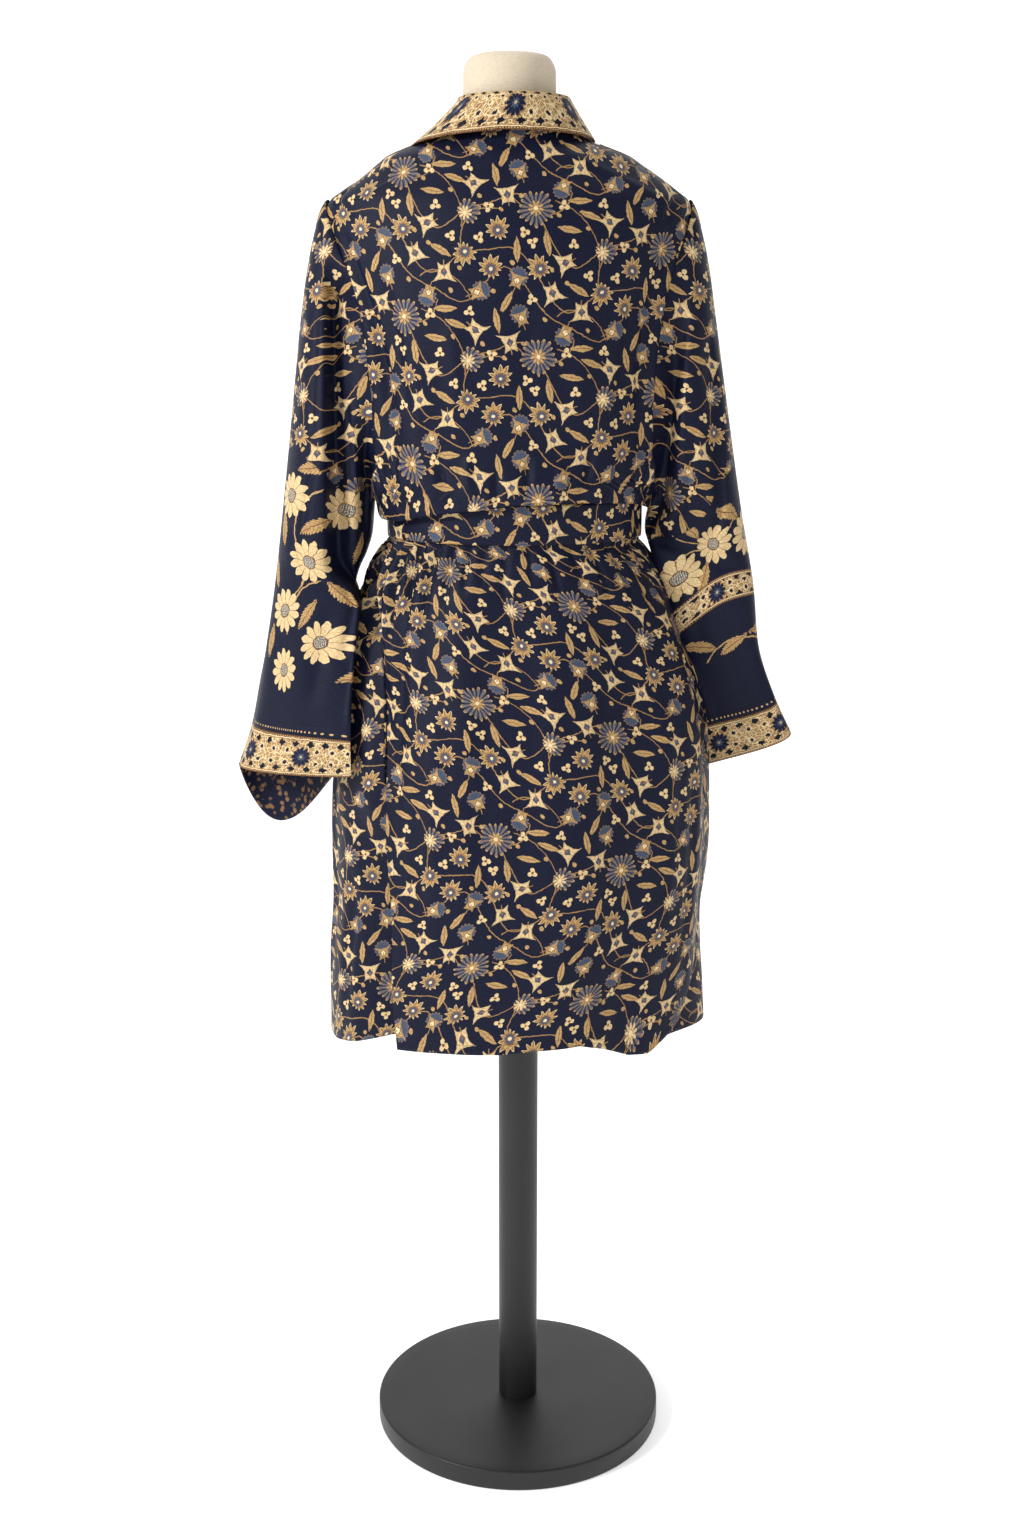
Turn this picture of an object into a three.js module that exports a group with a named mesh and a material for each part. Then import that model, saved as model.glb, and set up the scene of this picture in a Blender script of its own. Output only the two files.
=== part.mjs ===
// Long kimono jacket with its tie belt, worn by a limbless dress form on a pole and a round foot.
// Millimetres, +Z up. The jacket's back faces +Y and its wearer's left is +X.
// Angles are in degrees round the body: 0 is the centre back, 90 the wearer's left side.
import * as THREE from 'three';

// Sizes that drive the rest
const cloth = 2;            // wall of every cloth piece
const seamGap = 0.3;        // least space left where two pieces are sewn together
const sewnGap = 0.5;        // space at a slanting or turning seam, which stays over the least
const footRadius = 170;
const footThickness = 24.5;
const poleRadius = 23;
const formBottom = 846;     // flat underside of the dress form
const neckRadius = 48.5;
const neckCentre = 9.8;
const neckTop = 1574;
const beltTop = 1120;
const beltBottom = 1078;
const bandWidth = 42;       // front bands
const bandGap = 0.8;        // space under the bands, which closes up where the front turns sharply
const wrapTuck = 8.5;       // how far the right front steps in where the left front covers it

// Colours and finish
const navySilk = { color: 0x1e2134, roughness: 0.5, metalness: 0 };
const goldSilk = { color: 0xc6a874, roughness: 0.5, metalness: 0 };
const creamLinen = { color: 0xe8dac4, roughness: 0.85, metalness: 0 };
const blackSatin = { color: 0x1c1c1d, roughness: 0.45, metalness: 0.2 };

const radians = (degrees) => degrees * Math.PI / 180;
const mix = (a, b, t) => a + (b - a) * t;
const smooth = (a, b, x) => {
  const t = Math.min(1, Math.max(0, (x - a) / (b - a)));
  return t * t * (3 - 2 * t);
};
const bump = (x, centre, width) => Math.exp(-(((x - centre) / width) ** 2));
const table = (columns, rows) =>
  rows.map((row) => Object.fromEntries(columns.map((name, i) => [name, row[i]])));

// Value of a two-column list of [position, value] pairs at a position
function along(list, position) {
  if (position <= list[0][0]) return list[0][1];
  for (let i = 1; i < list.length; i++) {
    const [x0, y0] = list[i - 1];
    const [x1, y1] = list[i];
    if (position <= x1) return mix(y0, y1, (position - x0) / (x1 - x0));
  }
  return list[list.length - 1][1];
}

// Outer face of the jacket's body, one level ring a row: half widths to the left and right, depths of
// back and front, the angles where the back ends and the fronts start, the angle of the front edge,
// the share of the droop over the belt, the valley at the left side seam, and how far each front
// steps in under the back's edge at the side vents
const bodyRows = table(
  ['z', 'left', 'right', 'back', 'front', 'backL', 'backR', 'frontL', 'frontR', 'edge', 'sag',
    'valley', 'tuckL', 'tuckR'],
  [
    [1484, 76, 62, 57, 54, 90, 90, 90, 90, 112, 0, 0, 0, 0],
    [1475, 108, 89, 66, 60, 90, 90, 90, 90, 118, 0, 0, 0, 0],
    [1462, 143, 125, 74, 68, 90, 90, 90, 90, 124, 0, 0, 0, 0],
    [1449, 167, 151, 81, 76, 90, 90, 90, 90, 130, 0, 0, 0, 0],
    [1438, 186, 167, 87, 83, 90, 90, 90, 90, 135, 0, 0, 0, 0],
    [1428, 199, 179, 91, 89, 90, 90, 90, 90, 139, 0, 0, 0, 0],
    [1414, 203, 183, 95, 95, 80, 80, 100, 100, 144, 0, 0, 0, 0],
    [1396, 203, 184, 99, 101, 72, 72, 108, 108, 149, 0, 0, 0, 0],
    [1370, 201, 183, 103, 109, 65, 65, 115, 115, 155, 0, 0, 0, 0],
    [1338, 195, 179, 106, 116, 61, 61, 119, 119, 162, 0, 0, 0, 0],
    [1302, 189, 174, 107, 121, 59.5, 59.5, 120.5, 120.5, 169, 0, 0, 0, 0],
    [1264, 184, 170, 106, 121, 59, 59, 121, 121, 176, 0, 0, 0, 0],
    [1226, 180, 167, 104, 117, 59, 59, 121, 121, 183, 0, 0, 0, 0],
    [1190, 178, 165, 103, 112, 60, 60, 120, 120, 190, 0, 0, 0, 0],
    [1160, 176, 164, 106, 109, 62, 62, 118, 118, 196, 0.3, 0, 0, 0],
    [1140, 168, 156, 110, 110, 68, 68, 112, 112, 200, 0.6, 0, 0, 0],
    [1127, 156, 146, 112, 115, 90, 90, 90, 90, 202, 0.9, 0, 0, 0],
    [1114, 153, 143, 111, 114, 90, 90, 90, 90, 203, 1, 0, 0, 0],
    [1129.5, 147, 138, 105, 104.5, 90, 90, 90, 90, 204, 0, 0, 0, 0],
    [1124.5, 140, 131, 98.5, 94.5, 90, 90, 90, 90, 204, 0, 0, 0, 0],
    [1077, 140, 131, 98.5, 94.5, 88, 90, 88.1, 90, 204, 0, 0, 0, 0],
    [1066, 147, 139, 103, 99, 82, 90, 82.3, 90, 204, 0, 4, 0, 0],
    [1050, 158, 151, 108, 104, 75, 90, 75.3, 90, 204, 0, 9, 0, 0],
    [1030, 168, 161, 113, 109, 69, 90, 69.2, 90, 204, 0, 13, 0, 0],
    [1005, 176, 171, 118, 113, 64, 90, 64.2, 90, 204, 0, 16, 0, 0],
    [965, 185, 186, 124, 119, 59, 90, 59.2, 90, 204, 0, 18, 0, 0],
    [915, 192, 203, 131, 125, 54, 90, 54.3, 90, 204, 0, 18, 0, 0],
    [860, 198, 214, 137, 129, 50, 90, 50.4, 90, 204, 0, 12, 0, 0],
    [800, 205, 217, 142, 133, 46, 90, 46.4, 90, 204, 0, 4, 5, 0],
    [740, 207, 218, 146, 136, 44.5, 90, 40, 90, 204, 0, 0, 22, 0],
    [670, 207, 214, 149, 139, 42.5, 82, 37, 82, 204, 0, 0, 27, 4],
    [600, 214, 212, 151, 141, 40.5, 69, 35, 61, 204, 0, 0, 28, 12],
    [555, 217, 214, 152, 142, 39, 59.5, 33.5, 53, 204, 0, 0, 28, 14],
    [0, 218, 216, 153, 143, 38, 57, 33, 51, 204, 0, 0, 28, 14],
  ]);
const rowAfterWaist = 21;   // first row of the skirt

// Height of the droop's lower edge over the belt, above or below its row's height, by angle
const droop = [[-180, 8], [-130, -4], [-85, -8], [-60, 3], [-30, 8], [0, 6], [35, -6], [55, -16],
  [75, -16], [95, -10], [130, -4], [180, 8]];

// Hem heights by angle, one list for each panel
const backHem = [[-60, 552], [-52, 533], [-42, 514], [-35, 516], [-26, 529], [-18, 537], [-5, 533],
  [5, 528], [21, 526], [38, 522]];
const leftHem = [[33, 535], [46, 528], [58, 515], [72, 506], [86, 506], [105, 512], [130, 519], [204, 521]];
const rightHem = [[51, 522], [90, 521], [120, 518], [150, 521], [204, 523]];

// Soft folds down the cloth: angle at the top, drift of the angle a metre lower, half width in
// degrees, depth (ridges above zero, valleys below), and the heights between which each shows
const folds = table(
  ['angle', 'drift', 'width', 'depth', 'top', 'bottom'],
  [
    [58, -18, 6, 5, 1072, 780],
    [46, -14, 5, -5, 1074, 900],
    [33, -10, 6, -4, 1074, 940],
    [20, -8, 6, 3, 1072, 700],
    [2, 3, 8, -3, 1074, 560],
    [-16, 4, 8, 3, 1072, 520],
    [-36, 6, 7, -5, 1040, 520],
    [-62, 8, 8, 5, 1040, 600],
    [-80, 6, 8, -5, 1030, 640],
    [104, 8, 9, -7, 1060, 520],
    [126, 6, 9, 6, 1060, 520],
    [146, 4, 9, -4, 1060, 520],
    [-108, -8, 9, -7, 1060, 520],
    [-132, -6, 9, 6, 1060, 520],
    [48, 0, 6, -4, 1400, 1150],
    [-50, 0, 6, -4, 1400, 1150],
    [36, 0, 7, 3, 1300, 1120],
    [-34, 0, 7, 3, 1280, 1120],
  ]);
const foldFade = 60;        // height over which a fold comes and goes

// An angle brought to between -180 and 180
const wrapped = (angle) => angle - 360 * Math.round(angle / 360);

function foldDepth(angle, z) {
  return folds.reduce((sum, fold) => {
    const at = wrapped(angle - fold.angle - fold.drift * (fold.top - z) / 1000);
    const shown = smooth(fold.top + 5, fold.top - foldFade, z) * smooth(fold.bottom - foldFade, fold.bottom, z);
    return sum + fold.depth * shown * bump(at, 0, fold.width);
  }, 0);
}

// How far a panel steps in under its neighbour: the fronts at the vents, and the right at the wrap
const stepIn = {
  back: () => 0,
  left: (row, angle) => row.tuckL * (1 - smooth(row.backL + 1, row.backL + 26, angle)),
  right: (row, angle) => {
    const vent = row.tuckR * (1 - smooth(row.backR + 1, row.backR + 26, -angle));
    return vent + wrapTuck * coveredShare(row, angle);
  },
};

// Where the left front covers the right one, the right one skips the droop over the belt and runs
// straight down inside it: these rows take this height, half width and depth there
const coveredRows = table(['row', 'z', 'left', 'right', 'front'], [
  [15, 1144, 164, 153, 98],
  [16, 1137, 150, 141, 94],
  [17, 1132, 143, 134, 90],
  [18, 1128, 140, 131, 87.5],
  [19, 1124.5, 140, 131, 86],
]);
const coveredShare = (row, angle) => (row.edge < 175 ? 0 : smooth(344 - row.edge, 358 - row.edge, -angle));

const hemOf = { back: backHem, left: leftHem, right: rightHem };
const valleyWidth = 6;

// Point of a panel's outer face: an ellipse in plan with its folds, moved out by a distance
function bodyPoint(panel, ring, angle, out = 0) {
  const under = panel === 'right' && coveredRows.find((line) => bodyRows[line.row] === ring);
  const share = under ? coveredShare(ring, angle) : 0;
  const row = share ? {
    ...ring,
    left: mix(ring.left, under.left, share),
    right: mix(ring.right, under.right, share),
    front: mix(ring.front, under.front + wrapTuck, share),
    z: mix(ring.z, under.z, share),
    sag: mix(ring.sag, 0, share),
  } : ring;
  const a = radians(angle);
  const across = Math.sin(a);
  const deep = Math.cos(a);
  const centre = (row.left - row.right) / 2;
  const halfWidth = (row.left + row.right) / 2;
  const depth = deep > 0 ? row.back : row.front;
  const isHem = row.z === 0;
  const z = isHem ? along(hemOf[panel], panel === 'right' ? -angle : angle) : row.z + row.sag * along(droop, wrapped(angle));
  const valley = row.valley * bump(angle, row.backL, valleyWidth);
  const r = out + foldDepth(angle, z) - valley - stepIn[panel](row, angle);
  return new THREE.Vector3(centre + halfWidth * across + r * across, depth * deep + r * deep, z);
}

// Outward normals of a grid of points, rows going down and columns going with the angle
function gridNormals(points, closed) {
  const rows = points.length;
  const columns = points[0].length;
  return points.map((row, i) => row.map((point, j) => {
    const before = closed ? row[(j + columns - 1) % columns] : row[Math.max(0, j - 1)];
    const after = closed ? row[(j + 1) % columns] : row[Math.min(columns - 1, j + 1)];
    const above = points[Math.max(0, i - 1)][j];
    const below = points[Math.min(rows - 1, i + 1)][j];
    const side = after.clone().sub(before);
    return side.cross(above.clone().sub(below)).normalize();
  }));
}

// Closed wall between a grid of outer points and the same grid moved in by the wall's thickness
function wall(points, normals, thickness, closed, flip) {
  const rows = points.length;
  const columns = points[0].length;
  const count = rows * columns;
  const positions = [];
  points.forEach((row) => row.forEach((p) => positions.push(p.x, p.y, p.z)));
  points.forEach((row, i) => row.forEach((p, j) => {
    const q = p.clone().addScaledVector(normals[i][j], -thickness);
    positions.push(q.x, q.y, q.z);
  }));
  const index = [];
  const face = (a, b, c) => (flip ? index.push(a, b, c) : index.push(a, c, b));
  const quad = (a, b, c, d) => {
    face(a, b, c);
    face(a, c, d);
  };
  const at = (i, j) => i * columns + (j % columns);
  const last = closed ? columns : columns - 1;
  for (let i = 0; i < rows - 1; i++) {
    for (let j = 0; j < last; j++) {
      quad(at(i, j), at(i + 1, j), at(i + 1, j + 1), at(i, j + 1));
      quad(count + at(i, j), count + at(i, j + 1), count + at(i + 1, j + 1), count + at(i + 1, j));
    }
  }
  for (let j = 0; j < last; j++) {
    quad(at(0, j), at(0, j + 1), count + at(0, j + 1), count + at(0, j));
    quad(at(rows - 1, j + 1), at(rows - 1, j), count + at(rows - 1, j), count + at(rows - 1, j + 1));
  }
  if (!closed) {
    for (let i = 0; i < rows - 1; i++) {
      quad(at(i + 1, 0), at(i, 0), count + at(i, 0), count + at(i + 1, 0));
      quad(at(i, columns - 1), at(i + 1, columns - 1), count + at(i + 1, columns - 1), count + at(i, columns - 1));
    }
  }
  const geometry = new THREE.BufferGeometry();
  geometry.setAttribute('position', new THREE.Float32BufferAttribute(positions, 3));
  geometry.setIndex(index);
  geometry.computeVertexNormals();
  return geometry;
}

const group = new THREE.Group();

function add(name, geometry, finish) {
  const mesh = new THREE.Mesh(geometry, new THREE.MeshStandardMaterial(finish));
  mesh.name = name;
  group.add(mesh);
  return mesh;
}

// Half of a seam's gap as an angle on a row
const halfGap = (row) => (sewnGap / 2) / Math.min(row.back, row.left) * 180 / Math.PI;

// Evenly spread angles from one to another
const spread = (start, end, columns) =>
  Array.from({ length: columns + 1 }, (unused, j) => mix(start, end, j / columns));

// A body panel whose angles on each row are given by a function
function panelWall(panel, rows, anglesOf, out = 0, thickness = cloth) {
  const step = 1.5;
  const grid = rows.map(anglesOf);
  const normals = grid.map((line, i) => line.map((angle) => {
    const side = bodyPoint(panel, rows[i], angle + step).sub(bodyPoint(panel, rows[i], angle - step));
    const above = bodyPoint(panel, rows[Math.max(0, i - 1)], angle);
    const below = bodyPoint(panel, rows[Math.min(rows.length - 1, i + 1)], angle);
    return above.sub(below).cross(side).normalize();
  }));
  const points = grid.map((line, i) => line.map((angle, j) =>
    bodyPoint(panel, rows[i], angle).addScaledVector(normals[i][j], out)));
  return wall(points, normals, thickness, false, false);
}

// Angles across a front: its main part and the strip along its edge that the band lies on
const mainColumns = 8;
const bandColumns = 3;
function frontAngles(row, start) {
  const turn = bandWidth / Math.hypot(row.front, 0.35 * row.left) * 180 / Math.PI;
  const bandStart = Math.max(row.edge - turn, start + 4);
  return {
    main: spread(start + halfGap(row), bandStart, mainColumns),
    band: spread(bandStart, row.edge, bandColumns),
  };
}
const leftAngles = (row) => frontAngles(row, row.frontL);
const mirrored = (list) => list.map((angle) => -angle).reverse();
const rightAngles = (row) => {
  const { main, band } = frontAngles(row, row.frontR);
  return { main: mirrored(main), band: mirrored(band) };
};

function addBody() {
  const backColumns = 18;
  add('back', panelWall('back', bodyRows, (row) =>
    spread(-row.backR + halfGap(row), row.backL - halfGap(row), backColumns)), navySilk);
  add('front_left', panelWall('left', bodyRows, (row) => {
    const { main, band } = leftAngles(row);
    return [...main, ...band.slice(1)];
  }), navySilk);
  add('front_right', panelWall('right', bodyRows, (row) => {
    const { main, band } = rightAngles(row);
    return [...band, ...main.slice(1)];
  }), navySilk);
}

// Bands along the front edges: the points of the fronts' edge strips, moved out
function addBands() {
  const rows = bodyRows.slice(1);
  const out = bandGap + cloth;
  add('band_left', panelWall('left', rows, (row) => leftAngles(row).band, out), goldSilk);
  add('band_right', panelWall('right', rows, (row) => rightAngles(row).band, out), goldSilk);
}

// Sleeve rings: outer edge and inner edge of each ring (x counted away from the body), how far the
// ring bulges to the back and to the front, and how much lower its front hangs
const sleeveColumns = ['ox', 'oy', 'oz', 'ix', 'iy', 'iz', 'back', 'front', 'drop'];
const sleeveRings = {
  left: table(sleeveColumns, [
    [213, 0, 1408, 158, 0, 1100, 57, 56, 0],
    [223, 0, 1366, 160, 2, 1080, 58, 56, 0],
    [233, 0, 1304, 166, 6, 1060, 59, 56, 0],
    [243, 0, 1222, 175, 10, 1040, 58, 58, 0],
    [256, 0, 1116, 183, 18, 1006, 54, 62, 2],
    [268, 0, 1027, 191, 27, 960, 48, 66, 6],
    [281, 0, 950, 195, 41, 908, 43, 74, 14],
    [297, 2, 866, 194, 56, 862, 40, 84, 34],
    [314, 4, 818, 190, 66, 826, 40, 92, 86],
  ]),
  right: table(sleeveColumns, [
    [191, 0, 1408, 147, 0, 1100, 57, 56, 0],
    [201, 0, 1366, 149, -4, 1080, 58, 56, 0],
    [211, 0, 1304, 156, -12, 1058, 59, 56, 0],
    [224, 0, 1222, 167, -22, 1036, 58, 56, 0],
    [242, 0, 1112, 179, -34, 1004, 54, 56, 0],
    [260, 0, 1016, 189, -48, 960, 48, 56, 0],
    [266, 0, 956, 197, -60, 905, 42, 56, 0],
    [287, -2, 893, 197, -72, 836, 38, 58, 0],
    [305, -2, 856, 195, -76, 786, 40, 60, 0],
  ]),
};
const cuffRing = 8;         // the ring where the sleeve ends and the cuff band starts
const cuffGap = 0.7;        // space along the sleeve, which slants to the seam
const frontLean = 0.28;     // the ring's front half leans away from the body
const tipRow = 5;           // body row at the top of the armhole
const underarmRow = 16;     // body row at the foot of the armhole

// Long folds of the sleeves: x away from the body at the top, drift in x a metre lower, half width,
// depth, heights between which each shows, and the face that it is in
const sleeveFolds = {
  left: table(['x', 'drift', 'width', 'depth', 'top', 'bottom', 'face'], [
    [192, 10, 11, 26, 1385, 1010, 1],
    [163, 20, 7, 12, 1330, 1120, 1],
    [200, 60, 12, 18, 1340, 1000, -1],
  ]),
  right: table(['x', 'drift', 'width', 'depth', 'top', 'bottom', 'face'], [
    [177, -70, 9, 16, 1385, 1130, 1],
    [198, 90, 9, 8, 1320, 1080, 1],
    [190, 40, 12, 16, 1340, 1000, -1],
  ]),
};

function sleevePoint(side, ring, turn) {
  const a = turn * 2 * Math.PI;
  const c = Math.cos(a);
  const s = Math.sin(a);
  const x = mix(ring.ix, ring.ox, (1 + c) / 2);
  let y = mix(ring.iy, ring.oy, (1 + c) / 2) + (s > 0 ? ring.back : ring.front) * s;
  const z = mix(ring.iz, ring.oz, (1 + c) / 2) - (s < 0 ? ring.drop * s * s : 0);
  const lean = (s > 0 ? (side === 'right' ? frontLean * ring.back * s : 0) : -frontLean * ring.front * s) *
    smooth(1000, 900, ring.oz);
  const edge = Math.min(1, Math.abs(s) * 1.6);
  sleeveFolds[side].forEach((fold) => {
    const at = fold.x + fold.drift * (fold.top - z) / 1000;
    const shown = smooth(fold.top, fold.top - foldFade, z) * smooth(fold.bottom - foldFade, fold.bottom, z);
    if (fold.face * s > 0) y -= fold.face * fold.depth * shown * edge * bump(x, at, fold.width);
  });
  return new THREE.Vector3((side === 'left' ? 1 : -1) * (x + lean), y, z);
}

// The armhole, from the shoulder tip down the back and up the front, with the body's own normals
function armhole(side) {
  const sign = side === 'left' ? 1 : -1;
  const back = side === 'left' ? 'backL' : 'backR';
  const front = side === 'left' ? 'frontL' : 'frontR';
  const stops = [];
  for (let i = tipRow; i <= underarmRow; i++) stops.push([i, 'back', sign * bodyRows[i][back]]);
  for (let i = underarmRow - 1; i > tipRow; i--) stops.push([i, side, sign * bodyRows[i][front]]);
  return stops.map(([i, panel, angle]) => {
    const point = bodyPoint(panel, bodyRows[i], angle);
    const ahead = bodyPoint(panel, bodyRows[i], angle + 1.5).sub(bodyPoint(panel, bodyRows[i], angle - 1.5));
    const normal = bodyPoint(panel, bodyRows[i - 1], angle).sub(bodyPoint(panel, bodyRows[i + 1], angle));
    return { point, normal: normal.cross(ahead).normalize() };
  });
}

function addSleeve(side) {
  const start = armhole(side);
  const around = start.length;
  const underarm = (j) => smooth(3, 1, Math.abs(j - (underarmRow - tipRow)));
  const middleOfHole = start.reduce((sum, stop) => sum.add(stop.point), new THREE.Vector3()).divideScalar(around);
  const rings = sleeveRings[side].map((ring) =>
    start.map((stop, j) => sleevePoint(side, ring, j / around)));
  const first = start.map((stop, j) => {
    const before = start[(j + around - 1) % around].point;
    const after = start[(j + 1) % around].point;
    const away = stop.normal.clone().cross(after.clone().sub(before)).normalize();
    if (away.dot(middleOfHole.clone().sub(stop.point)) < 0) away.negate();
    return stop.point.clone().addScaledVector(away, sewnGap)
      .addScaledVector(stop.normal, sewnGap * (1 + underarm(j)) * underarm(j));
  });
  const points = [first, ...rings];
  const normals = gridNormals(points, true);
  const sign = side === 'left' ? 1 : -1;
  normals.forEach((row) => row.forEach((normal) => normal.multiplyScalar(sign)));
  normals[0] = start.map((stop, j) => stop.normal.clone().lerp(normals[0][j], underarm(j)).normalize());
  add(`sleeve_${side}`, wall(points.slice(0, cuffRing + 1), normals.slice(0, cuffRing + 1), cloth, true,
    side === 'left'), navySilk);
  const top = points[cuffRing].map((p, j) =>
    p.clone().addScaledVector(points[cuffRing + 1][j].clone().sub(p).normalize(), cuffGap));
  add(`cuff_${side}`, wall([top, points[cuffRing + 1]], [normals[cuffRing], normals[cuffRing + 1]], cloth,
    true, side === 'left'), goldSilk);
}

// Collar rows, from the foot of the stand up over the fold and down the fall: half widths, depths
// and heights at the centre back, the sides and the front ends
const collarRows = table(
  ['left', 'right', 'back', 'front', 'zBack', 'zSide', 'zEnd'],
  [
    [72, 59, 56, 53, 1487, 1487, 1487],
    [63, 53, 58, 53, 1507, 1507, 1505],
    [59.8, 50, 59, 53, 1528, 1526, 1521],
    [62.5, 52.5, 62, 56, 1533, 1531, 1525],
    [66, 56, 65, 59, 1528, 1526, 1520],
    [88, 70, 70, 70, 1512, 1503, 1500],
    [115, 94, 75, 80, 1495, 1478.6, 1482],
  ]);
const collarEnd = 115;      // angle of the collar's front ends
const collarColumns = 18;

function addCollar() {
  const points = collarRows.map((row) => {
    const line = [];
    for (let j = 0; j <= collarColumns; j++) {
      const angle = mix(-collarEnd, collarEnd, j / collarColumns);
      const a = radians(angle);
      const z = along([[0, row.zBack], [35, mix(row.zBack, row.zSide, 0.28)], [60, mix(row.zBack, row.zSide, 0.62)],
        [90, row.zSide], [collarEnd, row.zEnd]], Math.abs(angle));
      const depth = Math.cos(a) > 0 ? row.back : row.front;
      line.push(new THREE.Vector3((row.left - row.right) / 2 + (row.left + row.right) / 2 * Math.sin(a),
        depth * Math.cos(a), z));
    }
    return line;
  });
  const normals = gridNormals(points, false);
  normals.forEach((row) => row.forEach((normal) => normal.negate()));
  add('collar', wall(points, normals, cloth, false, false), goldSilk);
}

// The belt is a plain ring round the waist that steps out over the left front band
const beltOut = 1.5 + cloth;
const bandStep = 2.2;
function addBelt() {
  const columns = 36;
  const waist = bodyRows[rowAfterWaist - 1];
  const levels = [beltTop, (beltTop + beltBottom) / 2, beltBottom];
  const points = levels.map((z) => {
    const line = [];
    for (let j = 0; j < columns; j++) {
      const angle = -160 + 360 * j / columns;
      const over = smooth(-176, -166, -Math.abs(angle + 168) - 152);
      const row = { ...waist, z, sag: 0, valley: 0 };
      const atFront = angle < -140 || angle > 170 ? 1 : 0;
      line.push(bodyPoint('back', row, angle, beltOut + bandStep * Math.max(over, atFront)));
    }
    return line;
  });
  const normals = gridNormals(points, true);
  normals.forEach((row) => row.forEach((normal) => normal.negate()));
  add('belt', wall(points, normals, cloth, true, false), navySilk);
}

// Knot at the centre front, a plain pad with rounded edges, and the two tails that hang from it
const knot = { width: 50, height: 36, depth: 20, round: 9, z: 1096, angle: 186 };
const tailWidth = { top: 17, full: 38 };
const tails = table(['name', 'angle', 'spread', 'bottom', 'out'], [
  ['belt_tail_left', 180.5, -8, 700, 6],
  ['belt_tail_right', 193.5, 10, 742, 6],
]);

function roundedBlock(width, height, depth, round) {
  const shape = new THREE.Shape();
  const w = width / 2 - round;
  const h = height / 2 - round;
  const r = round * 0.5;
  shape.moveTo(-w, -h - r);
  shape.lineTo(w, -h - r);
  shape.absarc(w, -h, r, -Math.PI / 2, 0, false);
  shape.absarc(w, h, r, 0, Math.PI / 2, false);
  shape.absarc(-w, h, r, Math.PI / 2, Math.PI, false);
  shape.absarc(-w, -h, r, Math.PI, Math.PI * 1.5, false);
  const bevel = round - r;
  return new THREE.ExtrudeGeometry(shape, {
    depth: depth - 2 * bevel, bevelEnabled: true, bevelThickness: bevel, bevelSize: bevel, bevelSegments: 2,
    curveSegments: 4,
  });
}

function addKnotAndTails() {
  const waist = bodyRows[rowAfterWaist - 1];
  const seat = bodyPoint('left', { ...waist, z: knot.z, sag: 0 }, knot.angle, beltOut + bandStep + 1.2);
  const block = add('belt_knot', roundedBlock(knot.width, knot.height, knot.depth, knot.round), navySilk);
  block.rotation.x = Math.PI / 2;
  block.position.set(seat.x, seat.y - knot.round / 2, seat.z);
  tails.forEach((tail) => {
    const top = knot.z - knot.height / 2 - seamGap;
    const levels = 9;
    const columns = 3;
    const points = [];
    for (let i = 0; i <= levels; i++) {
      const z = mix(top, tail.bottom, i / levels);
      const above = bodyRows.findIndex((row, k) => k >= rowAfterWaist - 1 && bodyRows[k + 1].z <= z);
      const upper = bodyRows[above];
      const lower = bodyRows[above + 1];
      const t = (upper.z - z) / (upper.z - lower.z);
      const row = Object.fromEntries(Object.keys(upper).map((key) => [key, mix(upper[key], lower[key], t)]));
      const half = mix(tailWidth.top, tailWidth.full, smooth(0, 4, i)) / 2 / row.front * 180 / Math.PI;
      const middle = tail.angle + tail.spread * smooth(0, levels, i);
      const line = [];
      for (let j = 0; j <= columns; j++) {
        line.push(bodyPoint('left', { ...row, z }, mix(middle - half, middle + half, j / columns),
          mix(beltOut + bandStep + knot.depth / 2, tail.out + cloth, smooth(0, 3, i))));
      }
      points.push(line);
    }
    const normals = gridNormals(points, false);
    normals.forEach((row) => row.forEach((normal) => normal.negate()));
    add(tail.name, wall(points, normals, cloth, false, false), navySilk);
  });
}

// Dress form: a smooth limbless torso with its covered neck, one level ring a row
const formRows = table(['z', 'left', 'right', 'back', 'front'], [
  [neckTop, 41, 22, 31, 31],
  [1572, 48, 29, 38, 38],
  [1566, 54.5, 35, 45, 45],
  [1556, 58, 38.4, 48.2, 48.2],
  [1536, neckRadius + neckCentre, neckRadius - neckCentre, neckRadius, neckRadius],
  [1506, 60, 42, 50, 48],
  [1486, 66, 50, 51, 48],
  [1480.8, 71, 54, 53, 49],
  [1474.8, 98, 79, 56, 51],
  [1463, 131, 113, 65, 59],
  [1450, 156, 140, 73, 67],
  [1438, 176, 157, 79, 75],
  [1427, 187, 167, 83, 81],
  [1412, 189, 169, 88, 88],
  [1390, 185, 165, 93, 96],
  [1350, 174, 154, 98, 106],
  [1302, 160, 143, 101, 112],
  [1240, 149, 134, 98, 108],
  [1180, 142, 128, 95, 98],
  [1126, 135.6, 126.6, 93.8, 81.5],
  [1080, 135.6, 126.6, 93.8, 81.5],
  [1040, 146, 138, 98, 88],
  [980, 158, 155, 104, 95],
  [910, 162, 161, 107, 99],
  [formBottom + 14, 160, 160, 106, 98],
  [formBottom + 4, 156, 156, 102, 94],
  [formBottom, 148, 148, 94, 86],
]);

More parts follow.
